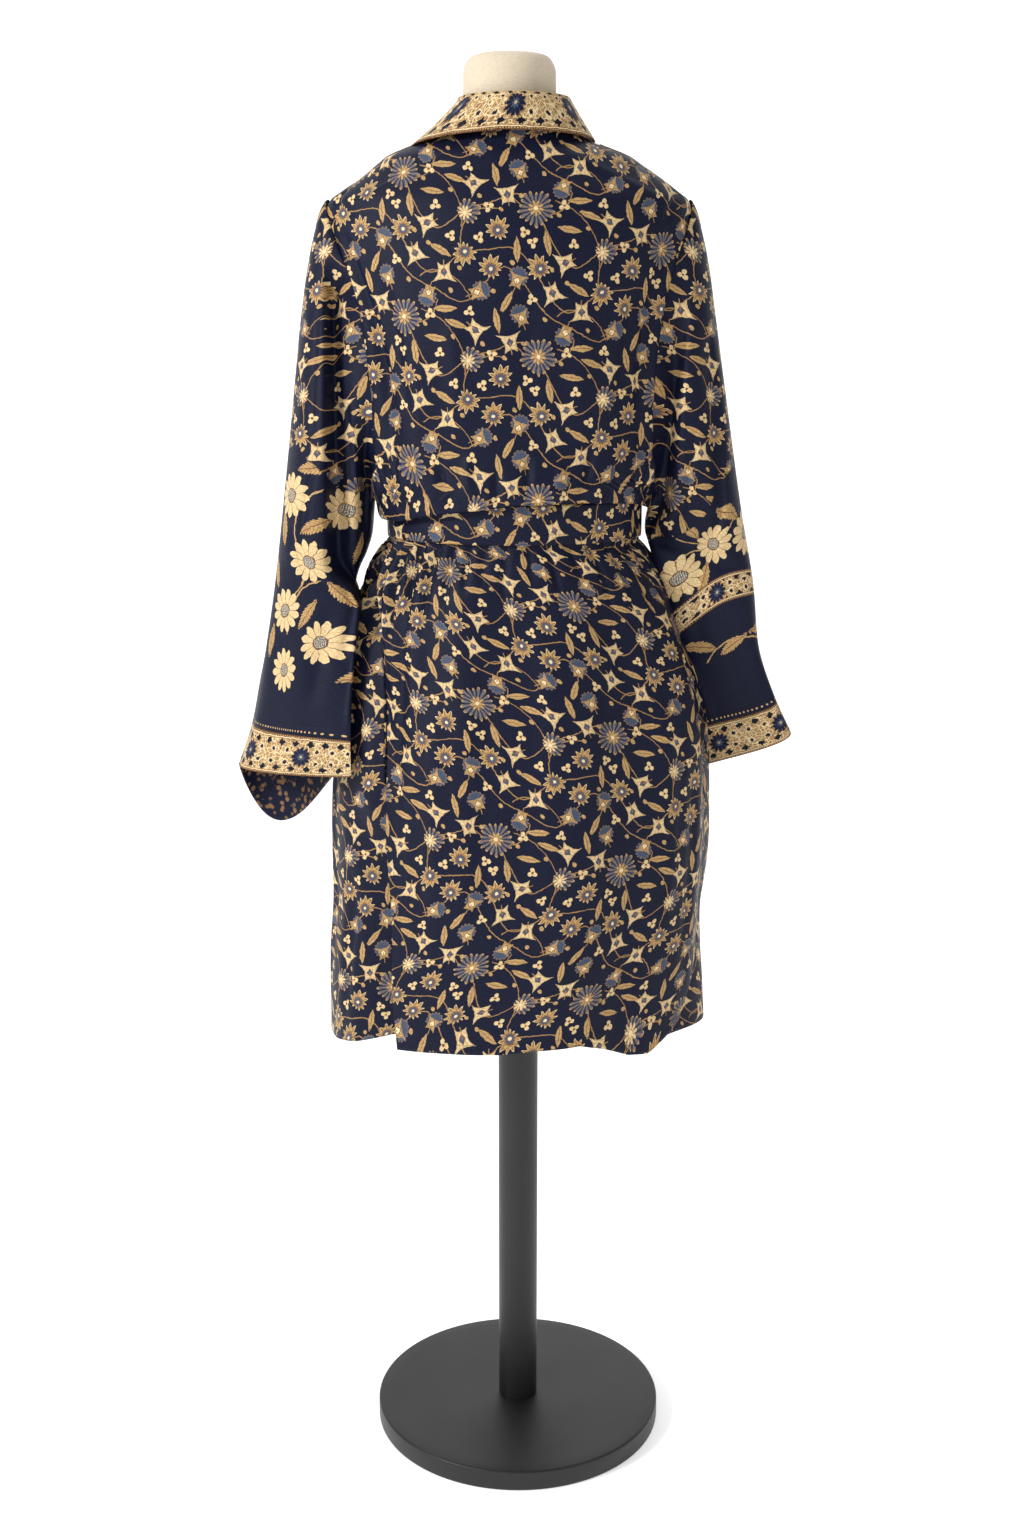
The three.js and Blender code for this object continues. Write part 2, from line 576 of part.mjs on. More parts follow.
function ringSolid(rows, columns) {
  const positions = [];
  rows.forEach((row) => {
    for (let j = 0; j < columns; j++) {
      const a = 2 * Math.PI * j / columns;
      const depth = Math.cos(a) > 0 ? row.back : row.front;
      positions.push((row.left - row.right) / 2 + (row.left + row.right) / 2 * Math.sin(a), depth * Math.cos(a), row.z);
    }
  });
  const top = rows[0];
  const bottom = rows[rows.length - 1];
  positions.push((top.left - top.right) / 2, 0, top.z, (bottom.left - bottom.right) / 2, 0, bottom.z);
  const topPole = rows.length * columns;
  const index = [];
  const at = (i, j) => i * columns + (j % columns);
  for (let j = 0; j < columns; j++) {
    index.push(topPole, at(0, j + 1), at(0, j));
    index.push(topPole + 1, at(rows.length - 1, j), at(rows.length - 1, j + 1));
    for (let i = 0; i < rows.length - 1; i++) {
      index.push(at(i, j), at(i, j + 1), at(i + 1, j + 1));
      index.push(at(i, j), at(i + 1, j + 1), at(i + 1, j));
    }
  }
  const geometry = new THREE.BufferGeometry();
  geometry.setAttribute('position', new THREE.Float32BufferAttribute(positions, 3));
  geometry.setIndex(index);
  geometry.computeVertexNormals();
  return geometry;
}

function addForm() {
  add('form_torso', ringSolid(formRows, 32), creamLinen);
}

// Pole and round foot with softened edges
function addStand() {
  const poleBottom = footThickness + seamGap;
  const poleLength = formBottom - seamGap - poleBottom;
  const pole = add('stand_pole', new THREE.CylinderGeometry(poleRadius, poleRadius, poleLength, 32), blackSatin);
  pole.rotation.x = Math.PI / 2;
  pole.position.z = poleBottom + poleLength / 2;
  const soften = 3;
  const profile = [
    [0, 0], [footRadius - 1, 0], [footRadius, 1], [footRadius, footThickness - soften],
    [footRadius - soften * 0.3, footThickness - soften * 0.3], [footRadius - soften, footThickness],
    [0, footThickness],
  ].map(([r, h]) => new THREE.Vector2(r, h));
  const foot = add('stand_base', new THREE.LatheGeometry(profile, 64), blackSatin);
  foot.rotation.x = Math.PI / 2;
}

addForm();
addStand();
addBody();
addBands();
addSleeve('left');
addSleeve('right');
addCollar();
addBelt();
addKnotAndTails();

export default group;
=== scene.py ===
import math
import bpy
import numpy as np
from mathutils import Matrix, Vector


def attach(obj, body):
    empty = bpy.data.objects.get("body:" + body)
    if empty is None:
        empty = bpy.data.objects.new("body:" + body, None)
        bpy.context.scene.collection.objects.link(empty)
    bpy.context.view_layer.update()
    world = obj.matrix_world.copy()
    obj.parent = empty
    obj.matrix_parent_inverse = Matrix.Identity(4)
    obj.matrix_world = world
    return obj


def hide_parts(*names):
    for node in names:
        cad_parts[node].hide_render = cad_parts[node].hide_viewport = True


# Long kimono jacket with its tie belt on a limbless dress form, a pole and a round foot.
# Tables are in millimetres and degrees, +Z up. The jacket's back faces +Y, its wearer's left is +X.
# Angles go round the body: 0 is the centre back, 90 the wearer's left side.
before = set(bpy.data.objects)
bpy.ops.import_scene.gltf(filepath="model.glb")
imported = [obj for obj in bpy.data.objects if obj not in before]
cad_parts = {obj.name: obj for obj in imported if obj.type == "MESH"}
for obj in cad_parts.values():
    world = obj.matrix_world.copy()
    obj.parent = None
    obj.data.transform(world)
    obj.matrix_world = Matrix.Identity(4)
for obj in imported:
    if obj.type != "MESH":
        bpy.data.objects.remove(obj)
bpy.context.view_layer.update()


def smoothStep(start, end, x):
    # 3t^2 - 2t^3 between start and end
    t = np.clip((x - start) / (end - start), 0, 1)
    return t * t * (3 - 2 * t)


def hill(x, centre, width):
    # exp(-((x - centre) / width)^2)
    return np.exp(-((x - centre) / width) ** 2)


def columnsOf(names, rows):
    return dict(zip(names.split(), np.array(rows, float).T))


def rowCurve(values, s):
    # cubic through one value a row, with slopes that never overshoot: the harmonic mean of the steps
    # on both sides, or none where they change sign
    values = np.asarray(values, float)
    steps = np.diff(values, axis=0)
    slopes = np.zeros_like(values)
    same = steps[1:] * steps[:-1] > 0
    slopes[1:-1] = np.where(same, 2 * steps[1:] * steps[:-1] / np.where(same, steps[1:] + steps[:-1], 1), 0)
    slopes[0], slopes[-1] = steps[0], steps[-1]
    i = np.clip(np.floor(s).astype(int), 0, len(values) - 2)
    t = (s - i).reshape(s.shape + (1,) * (values.ndim - 1))
    return ((2 * t ** 3 - 3 * t ** 2 + 1) * values[i] + (t ** 3 - 2 * t ** 2 + t) * slopes[i]
            + (3 * t ** 2 - 2 * t ** 3) * values[i + 1] + (t ** 3 - t ** 2) * slopes[i + 1])


def sheetMesh(name, points, cut, edge, closed=False, thick=0.8, finishes=(), inner=None, ridge=None):
    # grid of points (rows, columns, 3) in millimetres into a thin cloth with its wall turned inwards;
    # cut is each point's place on the flat cloth, edge its distances from the hem and the side
    rows, columns = points.shape[:2]
    width = columns - 1 if closed else columns
    row, column = np.meshgrid(np.arange(rows - 1), np.arange(columns - 1), indexing="ij")
    corner = np.stack([(row, column), (row + 1, column), (row + 1, column + 1), (row, column + 1)])
    corner = corner.reshape(4, 2, -1).transpose(2, 0, 1)
    flat = points[:, :width].reshape(-1, 3)
    faces = corner[..., 0] * width + corner[..., 1] % width
    a, b, c = (flat[faces[:, k]] for k in (0, 1, 3))
    normal = np.cross(b - a, c - a)
    if ridge is None:
        outward = a - np.repeat(points[:, :width].mean(axis=1), columns - 1, axis=0)[:len(faces)]
        outward[:, 2] = 0
    else:
        outward = np.broadcast_to(ridge, a.shape)
    if (normal * outward).sum() < 0:
        faces, corner = faces[:, ::-1], corner[:, ::-1]
    mesh = bpy.data.meshes.new(name + "_look")
    mesh.vertices.add(len(flat))
    mesh.vertices.foreach_set("co", (flat * 0.001).ravel())
    mesh.loops.add(faces.size)
    mesh.loops.foreach_set("vertex_index", faces.ravel().astype(np.int32))
    mesh.polygons.add(len(faces))
    mesh.polygons.foreach_set("loop_start", np.arange(0, faces.size, 4, dtype=np.int32))
    mesh.polygons.foreach_set("use_smooth", np.ones(len(faces), bool))
    for label, values in (("cut", cut), ("edge", edge)):
        layer = mesh.uv_layers.new(name=label)
        layer.data.foreach_set("uv", (values[corner[..., 0], corner[..., 1]] * 0.001).ravel())
    mesh.update(calc_edges=True)
    mesh.validate()
    piece = placed(name + "_look", mesh)
    for finish in finishes:
        mesh.materials.append(finish)
    if thick:
        wall = piece.modifiers.new("wall", "SOLIDIFY")
        wall.thickness = thick * 0.001
        wall.offset = -1
        wall.use_even_offset = False
        if inner is not None:
            wall.material_offset = inner
    return piece


def solidMesh(name, points, finish, printed=False):
    # closed solid from rings (rows, columns, 3): the first and last ring are closed by a middle point;
    # a printed one has its cut laid over it from the front
    rows, columns = points.shape[:2]
    flat = np.concatenate([points.reshape(-1, 3), points[:1].mean(axis=1), points[-1:].mean(axis=1)])
    i, j = np.meshgrid(np.arange(rows - 1), np.arange(columns), indexing="ij")
    k = (j + 1) % columns
    quads = np.stack([i * columns + j, i * columns + k, (i + 1) * columns + k, (i + 1) * columns + j], -1)
    j = np.arange(columns)
    k = (j + 1) % columns
    top = np.stack([np.full(columns, rows * columns), k, j], -1)
    end = (rows - 1) * columns
    bottom = np.stack([np.full(columns, rows * columns + 1), end + j, end + k], -1)
    mesh = bpy.data.meshes.new(name + "_look")
    faces = quads.reshape(-1, 4).tolist() + top.tolist() + bottom.tolist()
    mesh.from_pydata((flat * 0.001).tolist(), [], faces)
    mesh.polygons.foreach_set("use_smooth", np.ones(len(mesh.polygons), bool))
    volume = sum(mesh.vertices[p.vertices[0]].co.dot(p.normal) * p.area for p in mesh.polygons)
    if volume < 0:
        mesh.flip_normals()
    mesh.materials.append(finish)
    if printed:
        corner = np.empty(len(mesh.loops), np.int32)
        mesh.loops.foreach_get("vertex_index", corner)
        mesh.uv_layers.new(name="cut").data.foreach_set("uv", (flat[corner][:, [0, 2]] * 0.001).ravel())
    mesh.update()
    return placed(name + "_look", mesh)


def placed(name, data):
    # a new object with this data, in the scene
    thing = bpy.data.objects.new(name, data)
    bpy.context.scene.collection.objects.link(thing)
    return thing


def lengths(points, axis):
    # running length along rows or columns of a grid
    step = np.linalg.norm(np.diff(points, axis=axis), axis=2)
    total = np.cumsum(step, axis=axis)
    return np.insert(total, 0, 0, axis=axis)


class Wire:
    # a value on its way between nodes: arithmetic on it adds Math nodes
    def __init__(self, finish, socket):
        self.finish, self.socket = finish, socket

    def math(self, operation, *others, clamp=False):
        return self.finish.node("Math", {"operation": operation, "use_clamp": clamp}, [self, *others])

    def __add__(self, other):
        return self.math("ADD", other)

    def __sub__(self, other):
        return self.math("SUBTRACT", other)

    def __rsub__(self, other):
        return self.finish.node("Math", {"operation": "SUBTRACT"}, [other, self])

    def __mul__(self, other):
        return self.math("MULTIPLY", other)

    def __truediv__(self, other):
        return self.math("DIVIDE", other)

    def __abs__(self):
        return self.math("ABSOLUTE")

    __radd__ = __add__
    __rmul__ = __mul__

    def times(self, factor, plus, clamp=False):
        return self.math("MULTIPLY_ADD", factor, plus, clamp=clamp)


class Finish:
    # a material and its nodes
    def __init__(self, name):
        self.material = bpy.data.materials.new(name)
        self.material.use_nodes = True
        self.tree = self.material.node_tree
        self.tree.nodes.clear()

    def node(self, kind, settings=None, inputs=(), output=0):
        made = self.tree.nodes.new("ShaderNode" + kind)
        for key, value in (settings or {}).items():
            setattr(made, key, value)
        for key, value in inputs.items() if isinstance(inputs, dict) else enumerate(inputs):
            if isinstance(value, Wire):
                self.tree.links.new(value.socket, made.inputs[key])
            else:
                made.inputs[key].default_value = value
        return Wire(self, made.outputs[output])

    def vector(self, operation, *inputs, output=0):
        return self.node("VectorMath", {"operation": operation}, inputs, output)

    def noise(self, place, scale, detail=2.0, output="Fac"):
        return self.node("TexNoise", None, {"Vector": place, "Scale": scale, "Detail": detail}, output)

    def cells(self, place, scale, randomness, feature="F1"):
        inputs = {"Vector": place, "Scale": scale, "Randomness": randomness}
        return self.node("TexVoronoi", {"feature": feature}, inputs, "Distance")

    def flatPlace(self, layer):
        # a UV layer in millimetres
        return self.vector("MULTIPLY", self.node("UVMap", {"uv_map": layer}), (1000, 1000, 0))

    def split(self, vector):
        first = self.node("SeparateXYZ", None, [vector])
        outputs = first.socket.node.outputs
        return Wire(self, outputs[0]), Wire(self, outputs[1]), Wire(self, outputs[2])

    def mix(self, factor, a, b):
        return self.node("Mix", {"data_type": "RGBA"}, {0: factor, 6: a, 7: b}, 2)

    def bump(self, height, distance, strength=1.0, normal=None):
        inputs = {"Height": height, "Distance": distance, "Strength": strength}
        if normal is not None:
            inputs["Normal"] = normal
        return self.node("Bump", None, inputs)

    def end(self, **sockets):
        shader = self.node("BsdfPrincipled", None,
                           {key.replace("_", " "): value for key, value in sockets.items()})
        output = self.tree.nodes.new("ShaderNodeOutputMaterial")
        self.tree.links.new(shader.socket, output.inputs["Surface"])
        return self.material


def ink(red, green, blue):
    # colour as seen (0 to 255) to the linear values that a node holds
    seen = np.array([red, green, blue]) / 255
    linear = np.where(seen <= 0.04045, seen / 12.92, ((seen + 0.055) / 1.055) ** 2.4)
    return (*linear.tolist(), 1.0)


# the jacket's body: one row a height, in millimetres, with its half widths, depths and seam angles
bodyRow = columnsOf("z left right back front backL backR frontL frontR edge sag valley tuckL tuckR", [
    (1498, 70.5, 59, 60, 56.5, 90, 90, 90, 90, 110, 0, 0, 0, 0),
    (1491, 92, 70, 62, 58, 90, 90, 90, 90, 112, 0, 0, 0, 0),
    (1484, 109, 85, 65, 60.5, 90, 90, 90, 90, 118, 0, 0, 0, 0),
    (1472, 138, 116, 72, 66.5, 90, 90, 90, 90, 124, 0, 0, 0, 0),
    (1452, 165, 148, 80, 75, 90, 90, 90, 90, 130, 0, 0, 0, 0),
    (1438, 186, 167, 87, 83, 90, 90, 90, 90, 135, 0, 0, 0, 0),
    (1428, 199, 179, 91, 89, 90, 90, 90, 90, 139, 0, 0, 0, 0),
    (1414, 203, 183, 95, 95, 80, 80, 100, 100, 144, 0, 0, 0, 0),
    (1396, 203, 184, 99, 101, 72, 72, 108, 108, 149, 0, 0, 0, 0),
    (1370, 201, 183, 103, 109, 65, 65, 115, 115, 155, 0, 0, 0, 0),
    (1338, 195, 179, 106, 116, 61, 61, 119, 119, 162, 0, 0, 0, 0),
    (1302, 189, 174, 107, 121, 59.5, 59.5, 120.5, 120.5, 169, 0, 0, 0, 0),
    (1264, 184, 170, 106, 121, 59, 59, 121, 121, 176, 0, 0, 0, 0),
    (1226, 180, 167, 104, 117, 59, 59, 121, 121, 183, 0, 0, 0, 0),
    (1190, 178, 165, 103, 112, 60, 60, 120, 120, 190, 0, 0, 0, 0),
    (1160, 176, 164, 106, 109, 62, 62, 118, 118, 196, 0.3, 0, 0, 0),
    (1140, 168, 156, 110, 110, 68, 68, 112, 112, 200, 0.6, 0, 0, 0),
    (1127, 156, 146, 112, 115, 90, 90, 90, 90, 202, 0.9, 0, 0, 0),
    (1114, 153, 143, 111, 114, 90, 90, 90, 90, 203, 1, 0, 0, 0),
    (1129.5, 147, 138, 105, 104.5, 90, 90, 90, 90, 204, 0, 0, 0, 0),
    (1124.5, 140, 131, 98.5, 94.5, 90, 90, 90, 90, 204, 0, 0, 0, 0),
    (1077, 140, 131, 98.5, 94.5, 88, 90, 88.1, 90, 204, 0, 0, 0, 0),
    (1066, 147, 139, 103, 99, 82, 90, 82.3, 90, 204, 0, 4, 0, 0),
    (1050, 158, 151, 108, 104, 75, 90, 75.3, 90, 204, 0, 9, 0, 0),
    (1030, 168, 161, 113, 109, 69, 90, 69.2, 90, 204, 0, 13, 0, 0),
    (1005, 176, 171, 118, 113, 64, 90, 64.2, 90, 204, 0, 16, 0, 0),
    (965, 185, 186, 124, 119, 59, 90, 59.2, 90, 204, 0, 18, 0, 0),
    (915, 192, 203, 131, 125, 54, 90, 54.3, 90, 204, 0, 18, 0, 0),
    (860, 198, 214, 137, 129, 50, 90, 50.4, 90, 204, 0, 12, 0, 0),
    (800, 205, 217, 142, 133, 46, 90, 46.4, 90, 204, 0, 4, 5, 0),
    (740, 207, 218, 146, 136, 44.5, 90, 40, 90, 204, 0, 0, 22, 0),
    (670, 207, 214, 149, 139, 42.5, 82, 37, 82, 204, 0, 0, 27, 4),
    (600, 214, 212, 151, 141, 40.5, 69, 35, 61, 204, 0, 0, 28, 12),
    (555, 217, 214, 152, 142, 39, 59.5, 33.5, 53, 204, 0, 0, 28, 14),
    (520, 218, 216, 153, 143, 38, 57, 33, 51, 204, 0, 0, 28, 14),
])
lastRow = len(bodyRow["z"]) - 1
waistRow = 21       # the row under the belt
tipRow = 6          # top of the armhole
underarmRow = 17    # its foot

# where the left front covers the right one, the right one steps in, and runs straight inside it here
wrapTuck = 8.5
coveredRow = {name: values.copy() for name, values in bodyRow.items()}
for row, z, left, right, front in ((16, 1144, 164, 153, 98), (17, 1137, 150, 141, 94),
                                   (18, 1132, 143, 134, 90),
                                   (19, 1128, 140, 131, 87.5), (20, 1124.5, 140, 131, 86)):
    for name, value in (("z", z), ("left", left), ("right", right), ("front", front + wrapTuck)):
        coveredRow[name][row] = value

droop = ((-180, -130, -85, -60, -30, 0, 35, 55, 75, 95, 130, 180),
         (8, -4, -8, 3, 8, 6, -6, -16, -16, -10, -4, 8))
hems = {
    "back": ((-60, -52, -42, -35, -26, -18, -5, 5, 21, 38),
             (552, 533, 514, 516, 529, 537, 533, 528, 526, 522)),
    "left": ((33, 46, 58, 72, 86, 105, 130, 204), (535, 528, 515, 506, 506, 512, 519, 521)),
    "right": ((51, 90, 120, 150, 204), (522, 521, 518, 521, 523)),
}
# large soft folds: angle, drift a metre lower, half width, depth, top, bottom
folds = (
    (58, -18, 6, 5, 1072, 780), (46, -14, 5, -5, 1074, 900), (33, -10, 6, -4, 1074, 940),
    (20, -8, 6, 3, 1072, 700), (2, 3, 8, -3, 1074, 560), (-16, 4, 8, 3, 1072, 520),
    (-36, 6, 7, -5, 1040, 520), (-62, 8, 8, 5, 1040, 600), (-80, 6, 8, -5, 1030, 640),
    (104, 8, 9, -7, 1060, 520), (126, 6, 9, 6, 1060, 520), (146, 4, 9, -4, 1060, 520),
    (-108, -8, 9, -7, 1060, 520), (-132, -6, 9, 6, 1060, 520),
    (48, 0, 6, -4, 1400, 1150), (-50, 0, 6, -4, 1400, 1150),
    (36, 0, 7, 3, 1300, 1120), (-34, 0, 7, 3, 1280, 1120),
)
# creases drawn, each from one point to another: angle and height of both ends, how far its
# middle bows to a larger angle, half width and depth (ridges above zero)
bodyCreases = (
    # gathers under the belt, left half of the back
    (70, 1078, 63, 1004, 0, 2.6, -4.5), (65.5, 1077, 58, 985, 0, 2.4, 2.6), (62, 1078, 55, 965, 0, 2.4, -4.2),
    (58, 1077, 52, 1000, 0, 2.6, 2.2), (54.5, 1078, 49, 960, 0, 2.6, -4.0),
    (50, 1077, 46.5, 1012, 0, 2.6, 2.0),
    (46, 1078, 43, 990, 0, 2.8, -3.4), (40.5, 1077, 39, 1020, 0, 3.0, 1.6), (36, 1078, 35, 985, 0, 2.8, -2.8),
    (31, 1077, 30.5, 1026, 0, 3.0, 1.2), (27, 1078, 27, 1002, 0, 3.0, -2.4),
    (20, 1078, 19, 1024, 0, 3.2, -1.8),
    (13, 1078, 13, 1034, 0, 3.4, -1.4), (4, 1078, 5, 1018, 0, 3.4, -1.8), (-6, 1078, -6, 1036, 0, 3.4, -1.2),
    (-15, 1078, -16, 1016, 0, 3.2, -1.8), (-25, 1078, -26, 1030, 0, 3.4, -1.5),
    (-35, 1078, -37, 1004, 0, 3.2, -2.2),
    (-45, 1078, -48, 1016, 0, 3.0, -2.2), (-54, 1078, -58, 990, 0, 3.0, -2.6),
    (-63, 1078, -68, 1004, 0, 3.0, -2.4),
    (-72, 1078, -78, 970, 0, 3.0, -3.0), (-82, 1078, -86, 990, 0, 3.0, -2.6),
    # the front's gathers
    (100, 1078, 104, 1000, 0, 3.2, -2.8), (114, 1078, 117, 1020, 0, 3.2, -2.2),
    (128, 1078, 130, 990, 0, 3.2, -2.6),
    (142, 1078, 142, 1020, 0, 3.2, -2.0), (-100, 1078, -105, 1010, 0, 3.2, -2.6),
    (-116, 1078, -119, 990, 0, 3.2, -2.6),
    (-131, 1078, -132, 1024, 0, 3.2, -2.0), (82, 1076, 86, 985, 0, 3.0, -3.2),
    (91, 1076, 95, 1000, 0, 3.0, 2.2),
    # hip folds that fan from the belt's left end
    (86, 1068, 97, 900, 4, 3.2, -5.0), (80, 1066, 88, 860, 4, 3.4, 4.0), (76, 1058, 78, 880, 4, 3.2, -5.5),
    (71, 1046, 68, 850, 3, 3.2, 3.6),
    # soft long waves down the skirt
    (44, 960, 40, 700, 0, 7, -1.6), (28, 900, 26, 600, 0, 9, 1.4), (12, 940, 13, 640, 0, 9, -1.4),
    (-8, 980, -7, 700, 0, 9, 1.2), (-26, 930, -27, 620, 0, 9, -1.6), (-48, 900, -49, 600, 0, 8, 1.6),
    (-60, 820, -58, 560, 0, 7, -1.8), (-70, 960, -78, 760, 0, 6, -2.2), (66, 700, 64, 520, 0, 7, -2.4),
    (88, 820, 86, 540, 0, 7, 2.4), (110, 760, 112, 540, 0, 8, -2.2),
    # the blouson over the belt
    (64, 1190, 58, 1112, 0, 3.6, -2.8), (54, 1170, 52, 1106, 0, 3.4, -2.4), (45, 1160, 46, 1106, 0, 3.6, 1.8),
    (38, 1176, 38, 1110, 0, 3.8, -2.2), (27, 1158, 26, 1110, 0, 4.0, -1.8), (16, 1166, 17, 1112, 0, 4.0, 1.4),
    (6, 1156, 7, 1116, 0, 4.0, -1.8), (-5, 1168, -6, 1118, 0, 4.0, -1.6), (-17, 1158, -17, 1118, 0, 4.0, 1.4),
    (-28, 1170, -27, 1120, 0, 4.0, -2.0), (-40, 1160, -40, 1118, 0, 3.8, -1.8),
    (-50, 1182, -48, 1116, 0, 3.6, 1.8),
    (-60, 1172, -58, 1112, 0, 3.4, -2.4), (-76, 1146, -70, 1112, 0, 3.0, -2.0),
    (100, 1150, 106, 1106, 0, 3.4, -2.2),
    (124, 1180, 122, 1108, 0, 4.0, -2.0), (140, 1170, 139, 1110, 0, 4.0, 1.6),
    (-112, 1170, -110, 1110, 0, 4.0, -2.0),
    (-134, 1170, -132, 1110, 0, 4.0, -2.0),
    # long soft draws in the bodice
    (60, 1380, 50, 1180, -3, 6, -2.4), (44, 1330, 38, 1190, 0, 7, -1.6), (20, 1300, 18, 1180, 0, 9, 1.2),
    (-6, 1340, -4, 1190, 0, 10, -1.2), (-24, 1300, -22, 1170, 0, 9, 1.2), (-44, 1340, -38, 1190, 0, 7, -1.6),
    (-58, 1390, -52, 1200, 3, 6, -2.4), (75, 1436, 52, 1405, 2, 6, -1.6), (-76, 1436, -54, 1404, 2, 6, -1.6),
    (30, 1470, 60, 1420, 0, 7, 1.2), (-30, 1470, -62, 1420, 0, 7, 1.2),
)
creaseScale = 2.35   # millimetres a degree, for the creases
creaseDepth = 2.1    # the tables' depths are multiplied by this


def creaseHeight(angle, z, table):
    # sum of depth * exp(-(distance from the bowed line / width)^2), fading at both ends of the line
    total = np.zeros(np.broadcast(angle, z).shape)
    x = angle * creaseScale
    for x0, z0, x1, z1, bow, width, depth in table:
        x0, x1, bow = (value * creaseScale for value in (x0, x1, bow))
        reach = math.hypot(x1 - x0, z1 - z0)
        dx, dz = (x1 - x0) / reach, (z1 - z0) / reach
        t = ((x - x0) * dx + (z - z0) * dz) / reach
        off = (x - x0) * dz - (z - z0) * dx
        off = off + bow * 4 * t * (1 - t)
        shown = smoothStep(-0.12, 0.1, t) * smoothStep(1.08, 0.55, t)
        total += depth * creaseDepth * hill(off, 0, width) * shown
    return total


def foldHeight(angle, z):
    total = np.zeros(np.broadcast(angle, z).shape)
    for centre, drift, width, depth, top, bottom in folds:
        off = angle - centre - drift * (top - z) / 1000
        off = off - 360 * np.round(off / 360)
        shown = smoothStep(top + 5, top - 60, z) * smoothStep(bottom - 60, bottom, z)
        total += depth * shown * hill(off, 0, width)
    return total


def bodyPoints(panel, s, angle, fine=True):
    # ellipse in plan, (centre + half width * sin, depth * cos), with its folds, moved out by them
    s = np.broadcast_to(s, angle.shape)
    row = {name: rowCurve(values, s) for name, values in bodyRow.items()}
    covered = 0
    if panel == "right":
        under = {name: rowCurve(coveredRow[name], s) for name in ("z", "left", "right", "front")}
        # the left front's edge lies at 360 - edge here: the step starts 16 degrees before it, ends 2 before
        covered = np.where(row["edge"] < 175, 0, smoothStep(344 - row["edge"], 358 - row["edge"], -angle))
        for name in under:
            row[name] = row[name] + (under[name] - row[name]) * covered
        row["sag"] = row["sag"] * (1 - covered)
    a = np.radians(angle)
    across, deep = np.sin(a), np.cos(a)
    centre, halfWidth = (row["left"] - row["right"]) / 2, (row["left"] + row["right"]) / 2
    depth = np.where(deep > 0, row["back"], row["front"])
    turned = (angle + 180) % 360 - 180
    hemAngles, hemHeights = hems[panel]
    hem = np.interp(-angle if panel == "right" else angle, hemAngles, hemHeights)
    z = row["z"] + row["sag"] * np.interp(turned, *droop) + (hem - 520) * np.clip(s - lastRow + 1, 0, 1)
    stepIn = wrapTuck * covered
    if panel == "left":
        stepIn = row["tuckL"] * (1 - smoothStep(row["backL"] + 1, row["backL"] + 26, angle))
    if panel == "right":
        stepIn = stepIn + row["tuckR"] * (1 - smoothStep(row["backR"] + 1, row["backR"] + 26, -angle))
    out = foldHeight(angle, z) - row["valley"] * hill(angle, row["backL"], 6) - stepIn
    if fine:
        free = 1 - hill(s, waistRow - 1, 0.8)       # nothing under the belt
        out = out + creaseHeight(angle, z, bodyCreases) * free * (1 - np.asarray(covered) * 0.8)
    return np.stack([centre + (halfWidth + out) * across, (depth + out) * deep, z], -1)


def bodySteps(first=0.0, last=float(lastRow), spacing=4.6):
    # places down the rows, about evenly spaced along the cloth
    ends = []
    for i in range(int(first), int(last)):
        drop = abs(bodyRow["z"][i + 1] - bodyRow["z"][i]) + abs(bodyRow["back"][i + 1] - bodyRow["back"][i])
        count = max(3, round(drop / spacing))
        ends.append(i + np.arange(count) / count)
    return np.append(np.concatenate(ends), last)


seamSpace = 0.12   # half of the space left at a sewn seam
bandWide = 42
bandSpace = 0.8


def frontSpan(s, side):
    # angles across a front: where it starts, where its band starts, and its edge
    front, left = rowCurve(bodyRow["front"], s), rowCurve(bodyRow["left"], s)
    edge = rowCurve(bodyRow["edge"], s)
    start = rowCurve(bodyRow["frontL" if side == "left" else "frontR"], s)
    start = start + np.degrees(seamSpace / np.minimum(front, left))
    band = np.maximum(edge - np.degrees(bandWide / np.hypot(front, 0.35 * left)), start + 4)
    return start, band, edge


def spreadAngles(spans, counts):
    # columns of angles between neighbouring spans
    parts = [a[:, None] + (b - a)[:, None] * (np.arange(n) / n) for a, b, n in zip(spans, spans[1:], counts)]
    return np.concatenate(parts + [spans[-1][:, None]], axis=1)


def movedOut(points, distance, flip=False):
    # every point moved along the grid's own normal
    side = np.gradient(points, axis=1)
    down = np.gradient(points, axis=0)
    normal = np.cross(down, side)
    normal /= np.linalg.norm(normal, axis=2, keepdims=True) + 1e-9
    return points + normal * (-distance if flip else distance)


def flatCut(points, gather=None, middle=None):
    # place on the flat cloth: length across from one column and length down it
    middle = points.shape[1] // 2 if middle is None else middle
    across = lengths(points, 1)
    across = across - across[:, middle:middle + 1]
    if gather is not None:
        across = across * gather[:, None]
    down = np.broadcast_to(lengths(points, 0)[:, middle:middle + 1], across.shape)
    return np.stack([across, -down], -1)


def borderCut(points):
    # a border strip: across it from 0 to the border's width whatever its own, along it by its middle row
    across = np.linspace(0, border["width"], len(points))[:, None] + np.zeros(points.shape[1])
    along = np.broadcast_to(lengths(points, 1)[len(points) // 2], across.shape)
    return np.stack([across, along], -1)


def edgeDistances(points):
    down, across = lengths(points, 0), lengths(points, 1)
    return np.stack([down[-1:] - down, np.minimum(across, across[:, -1:] - across)], -1)


